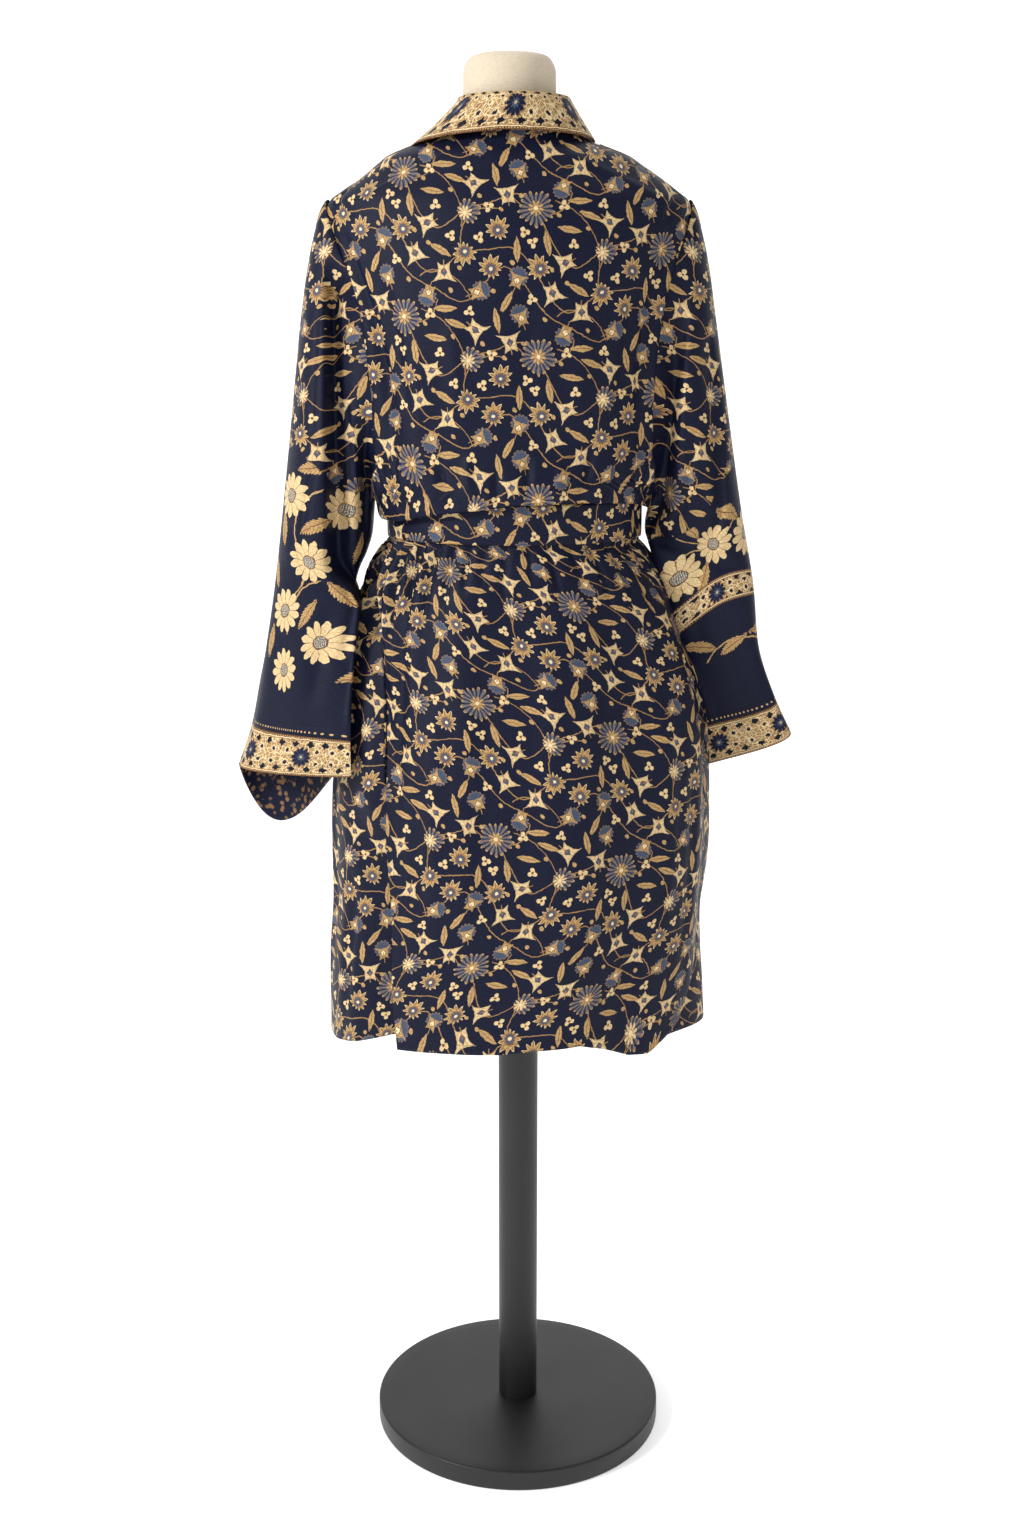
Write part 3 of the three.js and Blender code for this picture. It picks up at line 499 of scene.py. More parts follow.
def printedBody():
    s = bodySteps()
    backL, backR = rowCurve(bodyRow["backL"], s), rowCurve(bodyRow["backR"], s)
    gap = np.degrees(seamSpace / np.minimum(rowCurve(bodyRow["back"], s), rowCurve(bodyRow["left"], s)))
    # cloth that the belt gathers was cut as wide as at the hips
    gathered = 1 + 0.2 * hill(s, waistRow, 3.2)
    angles = spreadAngles([-backR + gap, backL - gap], [196])
    points = bodyPoints("back", s[:, None], angles)
    pieces = [sheetMesh("back", points, flatCut(points, gathered), edgeDistances(points),
                        finishes=[printSilk, silkInside], inner=1)]
    for side, sign in (("left", 1), ("right", -1)):
        start, band, edge = frontSpan(s, side)
        angles = sign * spreadAngles([start, band, edge], [130, 24])
        points = bodyPoints(side, s[:, None], angles)
        pieces.append(sheetMesh("front_" + side, points, flatCut(points, gathered, 130) * [sign, 1],
                                edgeDistances(points),
                                finishes=[printSilk, silkInside], inner=1))
        below = s >= 2
        angles = sign * spreadAngles([band[below], edge[below]], [22])
        under = bodyPoints(side, s[below, None], angles)
        points = movedOut(under, bandSpace + 1.2, flip=sign > 0)
        cut = borderCut(points.transpose(1, 0, 2)).transpose(1, 0, 2)
        pieces.append(sheetMesh("band_" + side, points, cut, edgeDistances(points), finishes=[borderSilk],
                                thick=1.2, ridge=(0, -1, 0)))
    return pieces


# sleeves
sleeveNames = "ox oy oz ix iy iz back front drop"
sleeveRing = {
    "left": columnsOf(sleeveNames, [
        (213, 0, 1408, 158, 0, 1100, 57, 56, 0),
        (223, 0, 1366, 160, 2, 1080, 58, 56, 0),
        (233, 0, 1304, 166, 6, 1060, 59, 56, 0),
        (243, 0, 1222, 175, 10, 1040, 58, 58, 0),
        (256, 0, 1116, 183, 18, 1006, 54, 62, 2),
        (268, 0, 1027, 191, 27, 960, 48, 66, 6),
        (281, 0, 950, 195, 41, 908, 43, 74, 14),
        (297, 2, 866, 194, 56, 862, 40, 84, 34),
        (314, 4, 818, 190, 66, 826, 40, 92, 86),
    ]),
    "right": columnsOf(sleeveNames, [
        (191, 0, 1408, 147, 0, 1100, 57, 56, 0),
        (201, 0, 1366, 149, -4, 1080, 58, 56, 0),
        (211, 0, 1304, 156, -12, 1058, 59, 56, 0),
        (224, 0, 1222, 167, -22, 1036, 58, 56, 0),
        (242, 0, 1112, 179, -34, 1004, 54, 56, 0),
        (260, 0, 1016, 189, -48, 960, 48, 56, 0),
        (266, 0, 956, 197, -60, 905, 42, 56, 0),
        (287, -2, 893, 197, -72, 836, 38, 58, 0),
        (305, -2, 856, 195, -76, 786, 40, 60, 0),
    ]),
}
# valleys: x away from the body at the top, drift a metre lower, half width, depth, top, bottom, face
sleeveFolds = {
    "left": ((194, 8, 14, 27, 1385, 900, 1), (163, 20, 8, 15, 1330, 1100, 1),
             (200, 60, 15, 18, 1340, 1000, -1)),
    "right": ((174, -60, 13, 19, 1400, 1110, 1), (198, 90, 11, 8, 1320, 1080, 1),
              (190, 40, 15, 16, 1340, 1000, -1)),
}
# creases on a face from (x, z) to (x, z): bow of the middle, half width, depth, face
sleeveCreases = {
    "left": (
        (182, 1250, 178, 1130, 0, 3.5, -3, 1), (206, 1330, 214, 1180, 0, 4, -2, 1),
        (232, 1330, 246, 1160, 0, 6, -2.5, 1),
        (216, 1160, 236, 1040, 4, 4.5, -3.5, 1), (246, 1090, 222, 1020, 0, 5, -3, 1),
        (206, 1050, 226, 950, 0, 4.5, -4, 1),
        (232, 1000, 250, 900, 0, 5, -3, 1), (262, 1010, 252, 920, 0, 5, 2.5, 1),
        (212, 960, 222, 880, 0, 4, 2.5, 1),
        (205, 1290, 215, 1150, 0, 5, -3, -1), (228, 1300, 244, 1120, 0, 6, -3, -1),
        (214, 1090, 240, 980, 0, 5, -4, -1),
        (240, 1040, 262, 930, 0, 6, -3, -1), (206, 990, 226, 890, 0, 5, -3, -1),
    ),
    "right": (
        (160, 1352, 168, 1220, 0, 5, -2, 1), (206, 1330, 218, 1170, 0, 5, -2.5, 1),
        (186, 1190, 176, 1100, 0, 4, -3, 1),
        (150, 1098, 214, 1066, -5, 4.5, -9, 1), (214, 1066, 240, 1040, 0, 5, -5, 1),
        (168, 1062, 204, 1030, 0, 5, 3.5, 1),
        (190, 1040, 214, 960, 0, 4, -4, 1), (222, 1060, 232, 960, 0, 5, -3, 1),
        (206, 980, 226, 880, 0, 4.5, -3.5, 1),
        (240, 1000, 258, 900, 0, 5, -2.5, 1), (198, 940, 214, 850, 0, 4, 2.5, 1),
        (226, 930, 244, 850, 0, 4.5, 2.2, 1),
        (196, 1290, 206, 1150, 0, 5, -3, -1), (216, 1300, 230, 1120, 0, 6, -3, -1),
        (206, 1080, 230, 970, 0, 5, -4, -1),
        (228, 1030, 252, 920, 0, 6, -3, -1), (206, 980, 228, 870, 0, 5, -3, -1),
    ),
}
# the back face reaches in behind the hip, and the right one's inner edge to the waist: height and reach
reachBehind = dict(left=(1062, 62), right=(1112, 72))
armholeSpace = 0.2
loopSteps = 22        # turn of a sleeve counted in the body's rows: down the back, then up the front
cuffRing = 8


def sleevePoints(side, s, turn):
    # ring in plan between an inner and an outer edge, half an ellipse to the back and half to the
    # front, with its valleys; above the first ring it closes onto the armhole
    ring = {}
    for name, values in sleeveRing[side].items():
        above = np.minimum(s - 1, 0) * (values[1] - values[0])
        ring[name] = rowCurve(values, np.clip(s - 1, 0, None)) + above
    a = turn * 2 * np.pi
    c, sn = np.cos(a), np.sin(a)
    share = (1 + c) / 2
    x = ring["ix"] + (ring["ox"] - ring["ix"]) * share
    y = ring["iy"] + (ring["oy"] - ring["iy"]) * share + np.where(sn > 0, ring["back"], ring["front"]) * sn
    z = ring["iz"] + (ring["oz"] - ring["iz"]) * share - np.where(sn < 0, ring["drop"] * sn * sn, 0)
    backLean = 0.28 * ring["back"] * sn if side == "right" else 0
    lean = np.where(sn > 0, backLean, -0.28 * ring["front"] * sn) * smoothStep(1000, 900, ring["oz"])
    rim = np.minimum(1, np.abs(sn) * 1.6)
    for centre, drift, width, depth, top, bottom, face in sleeveFolds[side]:
        shown = smoothStep(top, top - 60, z) * smoothStep(bottom - 60, bottom, z) * (face * sn > 0)
        off = x - centre - drift * (top - z) / 1000
        width = np.where(off > 0, width * 0.45, width)      # steep outer wall
        y = y - face * depth * shown * rim * hill(off, 0, width)
    for x0, z0, x1, z1, bow, width, depth, face in sleeveCreases[side]:
        reach = math.hypot(x1 - x0, z1 - z0)
        dx, dz = (x1 - x0) / reach, (z1 - z0) / reach
        t = ((x - x0) * dx + (z - z0) * dz) / reach
        off = (x - x0) * dz - (z - z0) * dx + bow * 4 * t * (1 - t)
        shown = smoothStep(-0.15, 0.2, t) * smoothStep(1.15, 0.7, t) * (face * sn > 0) * rim
        y = y + face * depth * shown * hill(off, 0, width)
    sign = 1 if side == "left" else -1
    top, reach = reachBehind[side]
    x = x - reach * (1 - share) * np.clip(sn, 0, 1) ** 2 * smoothStep(top, top - 60, z)
    if side == "right":
        x = x - 10 * (1 - share) ** 4 * hill(z, 1082, 32)
    points = np.stack([sign * (x + lean), y, z], -1)
    loop = armhole(side, turn[0])
    joined = smoothStep(0, 1, s)[..., None]
    return loop + (points - loop) * joined


def armhole(side, turn):
    # the edge of the body's panels between the shoulder tip and the underarm, moved into the hole
    q = (turn % 1) * loopSteps
    half = loopSteps / 2
    s = np.where(q <= half, tipRow + q, underarmRow + half - q)[None]
    sign = 1 if side == "left" else -1
    mark = "L" if side == "left" else "R"

    def edgeAt(ds, da):
        places = s + ds
        backEdge = bodyPoints("back", places, sign * rowCurve(bodyRow["back" + mark], places) + da)
        frontEdge = bodyPoints(side, places, sign * rowCurve(bodyRow["front" + mark], places) + da)
        return np.where((q <= half)[None, :, None], backEdge, frontEdge)[0]

    point = edgeAt(0, 0)
    normal = np.cross(edgeAt(-0.4, 0) - edgeAt(0.4, 0), edgeAt(0, 1.5) - edgeAt(0, -1.5))
    normal /= np.linalg.norm(normal, axis=1, keepdims=True)
    along = np.roll(point[:-1], -1, axis=0) - np.roll(point[:-1], 1, axis=0)
    along = np.append(along, along[:1], axis=0)
    away = np.cross(normal, along)
    away /= np.linalg.norm(away, axis=1, keepdims=True)
    towards = point.mean(axis=0) - point
    away *= np.sign((away * towards).sum(axis=1, keepdims=True))
    under = smoothStep(3, 1, np.abs(q - half))[:, None]
    return point + away * armholeSpace + normal * 0.5 * (1 + under) * under


def sleeveCut(side, points):
    # place on the flat sleeve: the way round its level section from the outer fold, and the height
    ring = sleeveRing[side]
    sign = 1 if side == "left" else -1
    x, y, z = sign * points[..., 0], points[..., 1], points[..., 2]
    outer, outerY = (np.interp(-z, -ring["oz"], ring[name]) for name in ("ox", "oy"))
    inner, innerY = (np.interp(-z, -ring["iz"], ring[name]) for name in ("ix", "iy"))
    inner = inner - 0.2 * np.clip(z - 1100, 0, 300)      # the armhole lies further in
    bulge = np.where(np.arange(z.shape[1]) > z.shape[1] // 2, ring["back"].mean(), ring["front"].mean())
    a = np.arctan2((y - (outerY + innerY) / 2) / bulge, (x - (outer + inner) / 2) / ((outer - inner) / 2))
    a[:, 0], a[:, -1] = -np.pi, np.pi
    return np.stack([a * ((outer - inner) / 2 + bulge) / 2, z], -1)


def printedSleeves():
    pieces = []
    turn = (0.5 + np.arange(199) / 198)[None]
    for side in ("left", "right"):
        steps = np.concatenate([np.linspace(0, 1, 13)[:-1], np.arange(1, cuffRing + 0.01, 0.07)])
        steps = np.append(steps[steps < cuffRing], cuffRing)
        points = sleevePoints(side, steps[:, None] + 0 * turn, turn + 0 * steps[:, None])
        pieces.append(sheetMesh("sleeve_" + side, points, sleeveCut(side, points), edgeDistances(points),
                                closed=True,
                                finishes=[sleeveSilk[side], silkInside], inner=1))
        down = np.linalg.norm(points[-1] - points[-2], axis=1).mean() / (steps[-1] - steps[-2])
        steps = np.linspace(cuffRing + 0.35 / down, cuffRing + 1, 22)
        points = sleevePoints(side, steps[:, None] + 0 * turn, turn + 0 * steps[:, None])
        pieces.append(sheetMesh("cuff_" + side, points, borderCut(points), edgeDistances(points), closed=True,
                                finishes=[borderSilk, silkInside], inner=1, thick=1.2))
    return pieces


# collar
collarRow = columnsOf("left right back front zBack zSide zEnd", [
    (72, 59, 56, 53, 1487, 1487, 1487),
    (63, 53, 58, 53, 1507, 1507, 1505),
    (59.8, 50, 59, 53, 1528, 1526, 1521),
    (62.5, 52.5, 62, 56, 1533, 1531, 1525),
    (66, 56, 65, 59, 1528, 1526, 1520),
    (88, 68, 69, 70, 1512, 1505, 1501),
    (113, 80, 74, 78, 1495, 1485, 1484),
])
collarEnd = 115
collarShift = 4      # of the border along the collar


def collarPiece():
    # rings of an ellipse in plan from the foot of the stand over the fold to the fall's edge
    s = np.linspace(0, 6, 73)[:, None]
    angle = np.linspace(-collarEnd, collarEnd, 181)[None]
    row = {name: rowCurve(values, s) for name, values in collarRow.items()}
    far = np.abs(angle)
    share = np.interp(far, (0, 35, 60, 90), (0, 0.28, 0.62, 1))
    z = row["zBack"] + (row["zSide"] - row["zBack"]) * share
    z = z + (row["zEnd"] - row["zSide"]) * smoothStep(90, collarEnd, far)
    a = np.radians(angle)
    z = z - 2.5 * np.sin(a) * smoothStep(4, 6, s)     # its left end lies lower
    depth = np.where(np.cos(a) > 0, row["back"], row["front"])
    x = (row["left"] - row["right"]) / 2 + (row["left"] + row["right"]) / 2 * np.sin(a)
    points = np.stack([x, depth * np.cos(a), z], -1)
    # one border's width on the stand and one on the fall, along them by a row of the fall
    across = np.broadcast_to(np.interp(s, (0, 3, 6), (2 * border["width"], border["width"], 0)),
                             points.shape[:2])
    along = np.broadcast_to(lengths(points, 1)[60], across.shape)
    middle = angle.shape[1] // 2
    cut = np.stack([across, along - along[0, middle] + collarShift], -1)
    return sheetMesh("collar", points, cut, edgeDistances(points), finishes=[borderSilk], thick=1.4)


# belt, knot and tails
beltSize = dict(top=1120, bottom=1078, out=3.5, overBand=2.2)
knotSize = dict(width=50, height=36, depth=20, z=1096, angle=186)
tailSizes = dict(left=(180.5, -8, 700), right=(193.5, 10, 742))
waist = {name: values[waistRow] for name, values in bodyRow.items()}


def waistPoints(angle, z, out):
    a = np.radians(angle)
    depth = np.where(np.cos(a) > 0, waist["back"], waist["front"])
    halfWidth = (waist["left"] + waist["right"]) / 2
    centre = (waist["left"] - waist["right"]) / 2
    return np.stack([centre + (halfWidth + out) * np.sin(a), (depth + out) * np.cos(a), z + 0 * a], -1)


def beltPiece():
    # a ring that steps out over the front bands, with a few soft dents where it is pulled tight
    z = np.linspace(beltSize["top"], beltSize["bottom"], 15)[:, None]
    angle = (180 + np.arange(241) * 1.5)[None]
    turned = (angle + 180) % 360 - 180
    over = np.where((turned < -138) | (turned > 168), 1, 0) * 1.0
    over = np.maximum(over, np.maximum(smoothStep(-132, -140, turned), smoothStep(160, 170, turned)))
    out = beltSize["out"] + beltSize["overBand"] * over
    level = (z - beltSize["bottom"]) / (beltSize["top"] - beltSize["bottom"])
    for centre, slope, width, depth in ((-70, 8, 5, 0.5), (-40, -6, 7, 0.4), (12, 5, 8, 0.35),
                                        (52, -7, 5, 0.55),
                                        (74, 6, 4, 0.6), (100, -6, 7, 0.4), (140, 5, 6, 0.5),
                                        (-120, 6, 7, 0.4)):
        out = out - depth * hill(turned, centre + slope * (level - 0.5), width)
    points = waistPoints(angle + 0 * z, z, out + 0.25 * np.sin(np.pi * level))
    return sheetMesh("belt", points, flatCut(points), edgeDistances(points), closed=True,
                     finishes=[beltSilk], thick=1.6)


def knotPiece():
    # rounded pad: superellipse across and up, thinner at its rim, with the wrap's slanting creases
    u, v = np.meshgrid(np.linspace(0, np.pi, 41), np.arange(120) / 120 * 2 * np.pi, indexing="ij")
    def power(value, exponent):
        return np.sign(value) * np.abs(value) ** exponent

    x = knotSize["width"] / 2 * power(np.sin(u), 0.55) * power(np.cos(v), 0.6)
    z = knotSize["height"] / 2 * power(np.sin(u), 0.55) * power(np.sin(v), 0.6)
    y = -knotSize["depth"] / 2 * power(np.cos(u), 0.7)
    pinch = 1 - 0.1 * hill(x, 0, 9)
    crease = sum(depth * hill(x + slope * z, centre, width) for centre, slope, width, depth in
                 ((-14, 0.35, 2.0, 1.6), (13, -0.3, 2.0, 1.6), (2, 0.2, 1.6, 0.9), (-5, -0.2, 1.6, 0.8)))
    y = y + np.where(y < 0, crease, 0)
    out = beltSize["out"] + beltSize["overBand"] + 1.2
    seat = waistPoints(np.array(float(knotSize["angle"])), knotSize["z"], out)
    points = np.stack([seat[0] + x, seat[1] - knotSize["depth"] / 2 + y, knotSize["z"] + z * pinch], -1)
    return solidMesh("belt_knot", points, beltSilk, printed=True)


def tailPiece(name, angle, spread, bottom):
    # strip from under the knot down over the fronts, fanning out and a little folded near the top
    top = knotSize["z"] - knotSize["height"] / 2 - 0.3
    t = np.linspace(0, 1, 97)[:, None]
    across = np.linspace(-0.5, 0.5, 27)[None]
    z = top + (bottom - top) * t
    heights = bodyRow["z"][waistRow:]
    row = {key: np.interp(-z, -heights, values[waistRow:]) for key, values in bodyRow.items()}
    width = 17 + 21 * smoothStep(0, 0.44, t)
    middle = angle + spread * smoothStep(0, 1, t)
    turn = np.radians(middle + across * width / row["front"] * 180 / np.pi)
    settled = smoothStep(0, 0.33, t)
    out = (beltSize["out"] + beltSize["overBand"] + 10) * (1 - settled) + 8 * settled
    folded = 2.2 * np.sin(across * 4 * np.pi) * smoothStep(0.5, 0.0, t) + 1.0 * np.sin(across * 6 + t * 9) * t
    out = out + folded + foldHeight(np.degrees(turn), z)
    halfWidth = (row["left"] + row["right"]) / 2
    centre = (row["left"] - row["right"]) / 2
    x, y = centre + (halfWidth + out) * np.sin(turn), (row["front"] + out) * np.cos(turn)
    points = np.stack([x, y, z + 0 * turn], -1)
    return sheetMesh(name, points, flatCut(points), edgeDistances(points), finishes=[beltSilk], thick=1.4,
                     ridge=(0, -1, 0))


# dress form and stand
formRow = columnsOf("z left right back front", [
    (1574, 41, 22, 31, 31), (1572, 48, 29, 38, 38), (1566, 54.5, 35, 45, 45), (1556, 58, 38.4, 48.2, 48.2),
    (1536, 58.3, 38.7, 48.5, 48.5), (1506, 60, 42, 50, 48), (1486, 66, 50, 51, 48), (1480.8, 71, 54, 53, 49),
    (1474.8, 98, 79, 56, 51), (1463, 131, 113, 65, 59), (1450, 156, 140, 73, 67), (1438, 176, 157, 79, 75),
    (1427, 187, 167, 83, 81), (1412, 189, 169, 88, 88), (1390, 185, 165, 93, 96), (1350, 174, 154, 98, 106),
    (1302, 160, 143, 101, 112), (1240, 149, 134, 98, 108), (1180, 142, 128, 95, 98),
    (1126, 135.6, 126.6, 93.8, 81.5),
    (1080, 135.6, 126.6, 93.8, 81.5), (1040, 146, 138, 98, 88), (980, 158, 155, 104, 95),
    (910, 162, 161, 107, 99),
    (860, 160, 160, 106, 98), (850, 156, 156, 102, 94), (846, 148, 148, 94, 86),
])
stand = dict(poleRadius=23, poleFoot=24.8, poleTop=845.7, footRadius=170, footThickness=24.5, soft=2.5)


def formPiece():
    s = np.linspace(0, len(formRow["z"]) - 1, 157)[:, None]
    row = {name: rowCurve(values, s) for name, values in formRow.items()}
    a = (np.arange(128) / 128 * 2 * np.pi)[None]
    depth = np.where(np.cos(a) > 0, row["back"], row["front"])
    x = (row["left"] - row["right"]) / 2 + (row["left"] + row["right"]) / 2 * np.sin(a)
    return solidMesh("form_torso", np.stack([x, depth * np.cos(a), row["z"] + 0 * a], -1), formLinen)


def turned(name, profile, finish, columns=128):
    # profile of (radius, height) turned about the pole's axis
    radius, height = np.array(profile).T[:, :, None]
    a = (np.arange(columns) / columns * 2 * np.pi)[None]
    return solidMesh(name, np.stack([radius * np.cos(a), radius * np.sin(a), height + 0 * a], -1), finish)


def roundedProfile(radius, bottom, top, soft, steps=6):
    # straight side between two quarter turns
    a = np.linspace(0, np.pi / 2, steps)
    rise = [(radius - soft + soft * math.sin(q), bottom + soft - soft * math.cos(q)) for q in a]
    fall = [(radius - soft + soft * math.cos(q), top - soft + soft * math.sin(q)) for q in a]
    return [(0.1, bottom), (radius * 0.5, bottom), *rise, *fall,
            (radius * 0.9, top), (radius * 0.4, top), (0.1, top)]


# finishes
inks = dict(navy=ink(20, 25, 50), night=ink(12, 15, 33), blue=ink(74, 84, 104), gold=ink(202, 168, 114),
            tan=ink(158, 122, 78), cream=ink(230, 207, 162), rust=ink(104, 66, 42))

# the print: one repeat in millimetres, whose neighbours across sit higher by the shear
repeat = dict(width=140, height=147, shear=40)
# how many of each motif a repeat holds, and the room kept round its middle
motifRoom = dict(daisy=(1, 19.5), side=(1, 17.5), flower=(4, 13.2), tulip=(5, 12.0), bell=(4, 13.0),
                 star=(9, 5.8), dot=(6, 3.6), leaf=(8, 8.6))
fillingDots = [(98, 36), (30, 70), (106, 134), (128, 110), (60, 77), (8, 56)]   # set in the gaps
spreadSeed = 5


def spreadMotifs():
    # (x, y, turn) of each motif: from random places they push each other apart, the smaller one more
    # and across the repeat's edges too, under a shake that fades, until hardly any are too near
    rng = np.random.default_rng(spreadSeed)
    kinds = [kind for kind, (count, room) in motifRoom.items() for each in range(count)]
    room = np.array([motifRoom[kind][1] for kind in kinds])
    width, height, slant = repeat["width"], repeat["height"], repeat["shear"] / repeat["width"]
    place = rng.random((len(kinds), 2)) * [width, height]
    share = room[None, :, None] / (room[:, None, None] + room[None, :, None])
    steps, shaken = 6000, 3000
    for step in range(steps):
        apart = place[:, None] - place[None]
        across = np.round(apart[..., 0] / width)
        apart[..., 0] -= across * width
        apart[..., 1] -= across * slant * width
        apart[..., 1] -= np.round(apart[..., 1] / height) * height
        reach = np.hypot(apart[..., 0], apart[..., 1]) + 1e-6
        push = np.clip((room[:, None] + room[None]) * 1.03 - reach, 0, None)
        np.fill_diagonal(push, 0)
        move = (apart / reach[..., None] * push[..., None] * share).sum(1)
        place += 0.25 * move + rng.normal(size=place.shape) * 0.4 * max(0, 1 - step / shaken)
        if push.max() < 0.3 and step > shaken + 200:
            break
    across = np.floor(place[:, 0] / width)
    place[:, 0] -= across * width
    place[:, 1] -= across * slant * width
    place[:, 1] %= height
    found = {kind: [] for kind in motifRoom}
    for kind, (x, y) in zip(kinds, place):
        turn = int(rng.integers(0, 36)) * 10
        found[kind].append((round(x), round(y), 0 if kind == "dot" else turn))      # dots have no turn
    found["dot"] += [(x, y, 0) for x, y in fillingDots]
    return found


motifs = spreadMotifs()
# vines that run on from repeat to repeat, drawn behind the flowers: height, then size and phase in
# degrees of one wave and of two in a repeat
vines = [(47, 26, 90, 7, 200), (-3, 22, 65, 6, 170), (116, 22, 90, 7, 60)]
# side stems: centre, radius, direction of the arc's middle, half its angle
stems = [(92, 60, 44, 140, 52), (112, 128, 36, 250, 64), (8, 14, 42, 30, 58), (70, 112, 30, 100, 62)]
motifSize = dict(daisy=19.5, side=17.5, flower=14.2, tulip=12.5, bell=12.5, star=5.8, dot=2.4, leaf=13)


def nearestSite(f, place, sites, span=None):
    # offset to the nearest site, with the site's turn as its third value; span wraps it over a repeat
    best = reach = None
    for x, y, turn in sites:
        centre = (x, y, 0)
        offset = place
        if span:
            offset = f.vector("WRAP", place, (x + span[0] / 2, y + span[1] / 2, 9),
                              (x - span[0] / 2, y - span[1] / 2, -9))
        offset = f.vector("SUBTRACT", offset, (x, y, -math.radians(turn)))
        size = f.vector("LENGTH", offset, output=1)
        if best is None:
            best, reach = offset, size
        else:
            closer = size.math("LESS_THAN", reach)
            best = f.node("Mix", {"data_type": "VECTOR"}, {0: closer, 4: best, 5: offset}, 1)
            reach = size.math("MINIMUM", reach)
    return best


def aroundSite(f, offset, slant=0.0):
    # distance and direction from a site, its turn taken off
    x, y, turn = f.split(offset)
    if slant:
        y = x.times(slant, y)
    return (x * x + y * y).math("SQRT"), y.math("ARCTAN2", x) - turn


def fill(depth, soft=0.3):
    # 1 inside an outline and 0 outside it, with an edge as wide as soft
    return depth.times(1 / soft, 0.5, clamp=True)


def petals(angle, count, low):
    # low + (1 - low) * |cos(count / 2 * angle)|
    ripple = abs((angle * (count / 2)).math("COSINE"))
    return ripple.times(1 - low, low), ripple


def arcStroke(f, offset, radius, turn, half, wide):
    # depth inside a stroke along an arc: direction of its middle and half its angle in degrees
    turn, half = math.radians(turn), math.radians(half)
    size = f.vector("LENGTH", offset, output=1)
    facing = f.vector("DOT_PRODUCT", offset, (math.cos(turn), math.sin(turn), 0), output=1)
    return (wide - abs(size - radius)).math("MINIMUM", facing - radius * math.cos(half))


